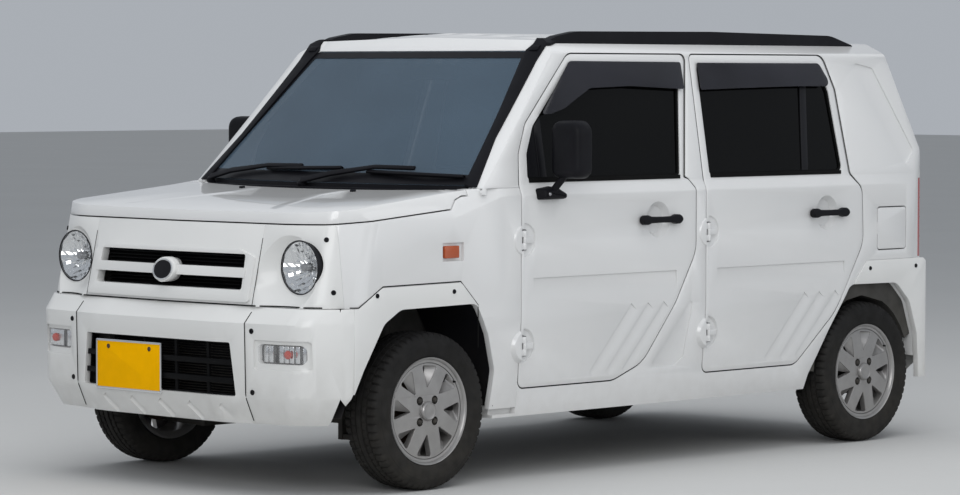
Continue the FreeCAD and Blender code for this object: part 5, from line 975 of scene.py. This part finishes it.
def make_handle(name, side, y, body):
    """Pull handle: two feet on the door and a slimmer grip between them, all with rounded sections."""
    sections = []
    form = [(-away, half, deep) for away, half, deep in HANDLE_FORM] + list(reversed(HANDLE_FORM[:-1]))
    for away, half, deep in form:
        middle, thick = SIDE_X + (HANDLE_OUT + deep) / 2, (HANDLE_OUT - deep) / 2
        ring = []
        for k in range(24):
            angle = 2 * math.pi * k / 24
            wave = (math.cos(angle), math.sin(angle))
            c, s = [math.copysign(abs(part) ** SQUARENESS, part) for part in wave]
            ring.append((side * (middle + thick * c), y + away, HANDLE_Z + half * s))
        sections.append(ring)
    return loft(name, sections, BLACK, body, crease=60.0)


MIRROR_FRONT = -562.0
HOUSING_FORM = ((0.0, 30.0), (0.6, 22.0), (3.0, 13.0), (9.0, 6.0), (20.0, 1.8), (36.0, 0.0), (65.0, 0.0),
                (69.0, 2.4))
HOUSING_OUTLINE = [(SIDE_X + 22.0, 1036.0, 30.0), (SIDE_X + 22.0, 1235.0, 35.0),
                   (SIDE_X + 160.0, 1235.0, 45.0), (SIDE_X + 160.0, 1036.0, 35.0)]
FOOT_FORM = ((22.0, 1.5), (33.0, 4.5), (38.0, 8.0), (40.0, 13.0))
FOOT_OUTLINE = [(-600.0, 962.0, 10.0), (-600.0, 1000.0, 10.0), (-530.0, 1008.0, 10.0), (-480.0, 985.0, 10.0),
                (-480.0, 962.0, 10.0)]
STALK = ((22.0, -546.0, 982.0), (34.0, -542.0, 1004.0), (58.0, -534.0, 1034.0), (76.0, -528.0, 1060.0))
MIRROR_BOLT = [(6.5, -2.0), (6.5, 1.5), (4.5, 3.5), (0.01, 3.8)]
for name, side in SIDES:
    body = "front_%s_door" % name
    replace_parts(make_handle("door_handle_rear_" + name, side, 993.0, "rear_%s_door" % name),
                "handle_rear_" + name)
    make_handle("door_handle_front_" + name, side, 34.0, body)
    outline = rounded(HOUSING_OUTLINE, 7)
    rings = [[(side * x, MIRROR_FRONT + back, z) for x, z in inset(outline, shrink)]
             for back, shrink in HOUSING_FORM]
    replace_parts(loft("mirror_housing_" + name, rings, BLACK, body, crease=60.0), "fittings_front_" + name)
    foot_line = rounded(FOOT_OUTLINE, 4)
    rings = [[(side * (side_x(z) + 0.6), y, z) for y, z in foot_line]]
    rings += [[(side * (SIDE_X + out), y, z) for y, z in inset(foot_line, shrink)]
              for out, shrink in FOOT_FORM]
    loft("mirror_foot_" + name, rings, BLACK, body, crease=60.0)
    stalk = [(side * (SIDE_X + out), y, z) for out, y, z in STALK]
    tube("mirror_stalk_" + name, stalk, 12.5, BLACK, body, sides=24)
    seat = (side * (SIDE_X + 39.0), -575.0, 983.0)
    lathe("mirror_bolt_" + name, MIRROR_BOLT, seat, (side, 0, 0), STEEL, body, steps=20)

# Windscreen's black printed border, wipers, washer jets and the bonnet's ridges
SCREEN_EDGE = [(-538.0, 1472.0, 30.0), (538.0, 1472.0, 30.0), (676.0, 1017.0, 12.0), (-676.0, 1017.0, 12.0)]


def fine(outline, step=60.0):
    """Outline with long runs divided, so that a ring can follow a bowed surface."""
    result = []
    for a, b in zip(outline, outline[1:] + outline[:1]):
        count = max(int(math.hypot(b[0] - a[0], b[1] - a[1]) / step), 1)
        result += [(a[0] + (b[0] - a[0]) * i / count, a[1] + (b[1] - a[1]) * i / count) for i in range(count)]
    return result


border = fine(rounded(SCREEN_EDGE))
strip_on("screen_border", border, inset(border, 22.0), lambda x, z: (x, screen_y(x, z) + 0.6, z), SATIN,
         thickness=1.0)
verts, faces = [], []
BAND_HALF = 664.0
for i in range(25):
    x = -BAND_HALF + 2.0 * BAND_HALF * i / 24
    for z in (1016.0, 1050.0):
        verts.append((x, screen_y(x, z) + 0.4, z))
    if i:
        faces.append((2 * i - 2, 2 * i, 2 * i + 1, 2 * i - 1))
make_mesh("screen_foot_band", verts, faces, SATIN, thickness=0.8)


WIPER_CAP = [(15.0, -22.0), (15.0, 4.0), (10.0, 9.0), (0.01, 10.0)]
SCREEN_UP = (0, -0.7, 0.7)


def between(start, end, count):
    """Places along a straight line, both ends included."""
    (x0, z0), (x1, z1) = start, end
    return [(x0 + (x1 - x0) * i / count, z0 + (z1 - z0) * i / count) for i in range(count + 1)]


def wiper(name, pivot, arm, ends):
    """Spindle, bent arm and blade with its rubber, on the glass."""
    def at(x, z, out):
        return Vector((x, screen_y(x, z) - out, z))
    base = Vector(pivot)
    lathe("wiper_cap_" + name, WIPER_CAP, base, (0, -0.45, 0.9), BLACK, steps=24)
    path = [base + Vector((0, -4.0, 8.0))] + [at(x, z, out) for x, z, out in arm]
    widths = [26.0, 22.0] + [15.0] * (len(path) - 2)
    bar("wiper_arm_" + name, path, widths, 9.0, BLACK, bevel=1.5, up=SCREEN_UP)
    steps = between(*ends, 12)
    spine = [at(x, z, 15.0 + 7.0 * math.sin(math.pi * i / 12)) for i, (x, z) in enumerate(steps)]
    bar("wiper_blade_" + name, spine, 12.0, 9.0, BLACK, bevel=1.2, up=SCREEN_UP)
    bar("wiper_rubber_" + name, [at(x, z, 5.5) for x, z in steps], 3.0, 9.0, RUBBER_AND_GAP_SHADE, up=SCREEN_UP)


wiper("far", (-606.0, -897.0, 1012.0),
      [(-500.0, 1046.0, 24.0), (-298.0, 1068.0, 26.0), (-110.0, 1070.0, 24.0)],
      ((-301.0, 1058.0), (84.0, 1066.0)))
wiper("near", (-49.0, -972.0, 1012.0), [(60.0, 1046.0, 24.0), (250.0, 1072.0, 30.0), (420.0, 1070.0, 24.0)],
      ((215.0, 1056.0), (628.0, 1045.0)))
for k, x in enumerate((-281.0, 281.0)):
    spot = drop("bonnet", (x, -1040.0, 1300.0), (0, 0, -1))[0]
    block("washer_jet_%d" % k, (spot.x - 9.0, spot.y - 8.0, spot.z - 2.0),
          (spot.x + 9.0, spot.y + 8.0, spot.z + 7.0), BLACK, "bonnet_lid", bevel=3.0)
RIDGE = ((380.0, -1497.0), (300.0, -1312.0), (228.0, -1146.0), (229.0, -1080.0), (230.0, -1008.0))
RIDGE_RISE = 2.4
stations = []
for start, end in zip(RIDGE, RIDGE[1:]):
    stations += between(start, end, 5)[:-1]
stations.append(RIDGE[-1])
for name, side in SIDES:
    rows = []
    last = len(stations) - 1
    for i, (x, y) in enumerate(stations):
        rise = RIDGE_RISE * min(1.0, i / 3.0, (last - i) / 3.0)
        row = []
        for across, up in ((-46.0, -0.3), (-3.0, rise), (3.0, rise), (14.0, -0.3)):
            top = drop("bonnet", (side * (x + across), y, 1300.0), (0, 0, -1))[0]
            row.append((top.x, top.y, top.z + up))
        rows.append(row)
    sheet("bonnet_ridge_" + name, rows, PAINT, "bonnet_lid", crease=60.0)

# Hinge pins and the mirror behind the windscreen
HINGE_LINES = (("front", -661.0), ("rear", 312.0))
HINGE_X = 734.0
HINGE_ENDS = (430.0, 494.0, 794.0, 858.0)
HINGE_PIN = [(6.6, -1.0), (6.6, 1.2), (5.0, 3.0), (2.0, 3.6), (0.01, 3.7)]
for end, y in HINGE_LINES:
    for name, side in SIDES:
        for k, z in enumerate(HINGE_ENDS):
            out = (0, 0, -1.0 if k % 2 == 0 else 1.0)
            lathe("hinge_pin_%s_%s_%d" % (end, name, k), HINGE_PIN, (side * HINGE_X, y, z), out, STEEL,
                  steps=20)
block("rear_view_mirror", (-115.0, -372.0, 1372.0), (115.0, -350.0, 1432.0), SATIN, bevel=9.0)
tube("rear_view_stem", [(0.0, -362.0, 1425.0), (0.0, -385.0, 1462.0), (0.0, -400.0, 1478.0)], 7.0, SATIN)

# Cabin: door cards, lining, dashboard details
CARD_X, CARD_FOOT, CARD_TOP = 620.5, 400.0, 1005.0
for end, y0, y1 in (("front", -640.0, 200.0), ("rear", 345.0, 1130.0)):
    for name, side in SIDES:
        body = "%s_%s_door" % (end, name)
        card = rounded([(y0, CARD_FOOT, 40.0), (y1 - 120.0, CARD_FOOT, 60.0), (y1, 620.0, 80.0),
                        (y1, CARD_TOP, 20.0), (y0, CARD_TOP, 20.0)])
        panel_on("door_card_%s_%s" % (end, name), card, lambda y, z, s=side: (s * CARD_X, y, z), CABIN, body,
                 thickness=4.0, bevel=1.5)
        middle = (y0 + y1) / 2
        side_block("arm_rest_%s_%s" % (end, name), side, (575.0, 619.0), (middle - 170.0, middle + 170.0),
                   (700.0, 745.0), CABIN, body, bevel=12.0)
LINING_CORNERS = ((-515.0, -330.0), (515.0, -330.0), (515.0, 1370.0), (-515.0, 1370.0))
lining = rounded([(x, y, 60.0) for x, y in LINING_CORNERS])
panel_on("roof_lining", lining, lambda x, y: (x, y, 1480.0 - 11.0 * abs(x) / 520.0), LINING, thickness=3.0)
block("meter_hood", (-480.0, -640.0, 975.0), (-190.0, -515.0, 1035.0), CABIN, bevel=22.0)
for k, x in enumerate((-560.0, -95.0, 95.0, 560.0)):
    block("air_vent_%d" % k, (x - 42.0, -527.0, 885.0), (x + 42.0, -514.0, 925.0), SATIN, bevel=5.0)
block("radio", (-88.0, -530.0, 800.0), (88.0, -522.0, 860.0), SATIN, bevel=2.5)
block("glove_box", (150.0, -548.0, 725.0), (540.0, -538.0, 835.0), CABIN, bevel=8.0)

# Rear: handle, wiper, reflectors and lamp divisions
block("tailgate_handle", (-170.0, 1640.0, 700.0), (170.0, 1668.0, 742.0), BLACK, "tail_door", bevel=8.0)
block("rear_wiper_boot", (-30.0, 1612.0, 985.0), (30.0, 1652.0, 1030.0), BLACK, "tail_door", bevel=10.0)


def behind(node, x, z, out=0.0):
    spot, normal = drop(node, (x, 2300.0, z), (0, -1, 0))
    return spot + normal * out


sweep = [behind("tailgate_glass", 30.0 - 330.0 * i / 8, 1062.0 + 5.0 * i, 16.0) for i in range(5)]
bar("rear_wiper_arm", [Vector((0.0, 1640.0, 1012.0))] + sweep, [20.0, 18.0, 14.0, 13.0, 12.0, 12.0], 7.0,
    BLACK, "tail_door", bevel=1.5, up=BACK)
blade = [behind("tailgate_glass", 40.0 - 400.0 * i / 10, 1064.0 + 4.0 * i, 7.0) for i in range(11)]
bar("rear_wiper_blade", blade, 9.0, 10.0, RUBBER_AND_GAP_SHADE, "tail_door", bevel=1.0, up=BACK)
REFLECTOR_EDGE = oblong(48.0, 16.0, 12.0)
REFLECTOR_FORM = ((-6.0, 0.0), (1.5, 0.0), (3.0, 1.5), (3.4, 4.0))
RIB_INNER, RIB_OUTER = 660.0, 690.0
for name, side in SIDES:
    spot = behind("rear_bumper", side * 560.0, 430.0)
    rings = [[(spot.x + u, spot.y + out, spot.z + v) for u, v in inset(REFLECTOR_EDGE, shrink)]
             for out, shrink in REFLECTOR_FORM]
    loft("rear_reflector_" + name, rings, RED, crease=60.0)
    for k, z in enumerate((770.0, 845.0, 920.0)):
        line = between((RIB_INNER, z), (RIB_OUTER, z), 5)
        spots = [behind("tail_lamps", side * x, z, 0.4) for x, z in line]
        bar("tail_lamp_rib_%s_%d" % (name, k), spots, 2.0, 4.0, SATIN)


# Seats as padded forms
CLOTH_FRAMES = 20


def pad(name, low, high, tilt, pivot, crown, body="shell"):
    """Cushion blown up by cloth pressure from a rounded box, tilted about the X axis through pivot."""
    low, high = Vector(low), Vector(high)
    mesh = bpy.data.meshes.new(name)
    work = bmesh.new()
    bmesh.ops.create_cube(work, size=1.0)
    size = (high - low) * MM
    middle = (high + low) / 2 * MM
    for v in work.verts:
        v.co = Vector((v.co.x * size.x, v.co.y * size.y, v.co.z * size.z))
    bmesh.ops.bevel(work, geom=work.edges[:], offset=min(size) * 0.3, segments=4, affect="EDGES", profile=0.6)
    work.to_mesh(mesh)
    work.free()
    piece = add_object(name, mesh)
    piece.location = middle
    bpy.context.view_layer.objects.active = piece
    for other in bpy.context.selected_objects:
        other.select_set(False)
    piece.select_set(True)
    bpy.ops.object.transform_apply(location=True, rotation=False, scale=False)
    modify(piece, "grid", "REMESH", mode="VOXEL", voxel_size=0.009)
    bpy.ops.object.modifier_apply(modifier="grid")
    start = [v.co.copy() for v in piece.data.vertices]
    cloth = piece.modifiers.new("cloth", "CLOTH")
    cloth.settings.use_pressure = True
    cloth.settings.uniform_pressure_force = 4.0
    cloth.settings.effector_weights.gravity = 0.0
    cloth.settings.quality = 5
    cloth.point_cache.frame_start = 1
    cloth.point_cache.frame_end = CLOTH_FRAMES
    for step in range(1, CLOTH_FRAMES + 1):
        scene.frame_set(step)
    bpy.ops.object.modifier_apply(modifier="cloth")
    scene.frame_set(1)
    for v, was in zip(piece.data.vertices, start):
        move = v.co - was
        if move.length > crown * MM:
            v.co = was + move.normalized() * crown * MM
    spin = Matrix.Rotation(math.radians(tilt), 4, "X")
    centre = Vector(pivot) * MM
    for v in piece.data.vertices:
        v.co = centre + spin @ (v.co - centre)
    piece.data.materials.append(CLOTH)
    for polygon in piece.data.polygons:
        polygon.use_smooth = True
    modify(piece, "soft", "SUBSURF", levels=1, render_levels=1)
    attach(piece, body)
    return piece


def copy_across(piece, name, body="shell"):
    twin = piece.copy()
    twin.data = piece.data.copy()
    twin.name = name
    scene.collection.objects.link(twin)
    for v in twin.data.vertices:
        v.co.x = -v.co.x
    twin.data.flip_normals()
    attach(twin, body)
    return twin


front_pads = [pad("seat_cushion_left", (115, -225, 418), (545, 235, 545), 3.0, (330, 0, 480), 22.0),
              pad("seat_back_left", (120, 262, 470), (540, 360, 1085), -12.0, (330, 300, 470), 22.0),
              pad("seat_rest_left", (222, 385, 1125), (438, 435, 1255), -8.0, (330, 400, 1125), 12.0)]
for name, side in SIDES:
    side_block("seat_frame_" + name, side, (165.0, 495.0), (-170.0, 275.0), (281.0, 415.0), CABIN, bevel=14.0)
    for k, x in enumerate((275.0, 385.0)):
        post = [(side * x, 392.0, 1050.0), (side * x, 402.0, 1140.0)]
        tube("rest_post_%s_%d" % (name, k), post, 6.0, CHROME)
for piece in front_pads:
    copy_across(piece, piece.name.replace("left", "right"))
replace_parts(front_pads[0], "front_seats")
rear_cushion = pad("rear_cushion", (-515, 768, 436), (515, 1160, 540), 2.0, (0, 950, 480), 20.0)
pad("rear_back", (-515, 1195, 520), (515, 1275, 1035), -12.0, (0, 1230, 520), 20.0)
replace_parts(rear_cushion, "rear_seat")

# Floor, light and camera
floor = bpy.data.meshes.new("floor")
floor.from_pydata([(-60, -60, 0), (60, -60, 0), (60, 60, 0), (-60, 60, 0)], [], [(0, 1, 2, 3)])
floor_piece = add_object("floor", floor)
floor.materials.append(surface("pale_floor", (0.56, 0.56, 0.55), 0.85, specular=0.2, mottle=(0.015, 0.6)))

world = bpy.data.worlds.new("studio")
scene.world = world
world.use_nodes = True
world.node_tree.nodes["Background"].inputs["Color"].default_value = (0.8, 0.85, 0.92, 1.0)
world.node_tree.nodes["Background"].inputs["Strength"].default_value = 0.5


def soft_light(name, place, size, power):
    """Square lamp that looks at the middle of the car."""
    lamp = bpy.data.lights.new(name, "AREA")
    lamp.energy = power
    lamp.size = size
    holder = add_object(name, lamp)
    holder.location = place
    holder.rotation_euler = (LIGHT_TARGET - Vector(place)).to_track_quat("-Z", "Y").to_euler()
    return holder


LIGHT_TARGET = Vector((0, 0, 0.8))
soft_light("overhead", (1.0, -1.0, 7.0), 9.0, 330.0).visible_glossy = False
soft_light("front_left", (7.0, -9.0, 4.5), 5.0, 330.0)
soft_light("side_left", (9.0, 3.0, 3.5), 5.0, 90.0)

# The camera that the photo was solved for: place in metres, direction and focal length in pixels
EYE = Vector((9.41973, -9.923411, 1.392295))
LOOK = Vector((-94157.2, 98013.5, -6336.25))
ROLL = 0.00169
FOCAL, PICTURE_WIDTH, SENSOR = 3712.957, 960.0, 36.0
camera_data = bpy.data.cameras.new("camera")
camera_data.sensor_width = SENSOR
camera_data.lens = FOCAL / PICTURE_WIDTH * SENSOR
camera_data.clip_end = 200.0
camera = add_object("camera", camera_data)
scene.camera = camera
look = LOOK.normalized()
right = look.cross(Vector((0, 0, 1))).normalized()
up = right.cross(look)
rolled_right = right * math.cos(ROLL) + up * math.sin(ROLL)
rolled_up = up * math.cos(ROLL) - right * math.sin(ROLL)
turn = Matrix((rolled_right, rolled_up, -look)).transposed().to_4x4()
camera.matrix_world = Matrix.Translation(EYE) @ turn
scene.view_settings.view_transform = "Standard"
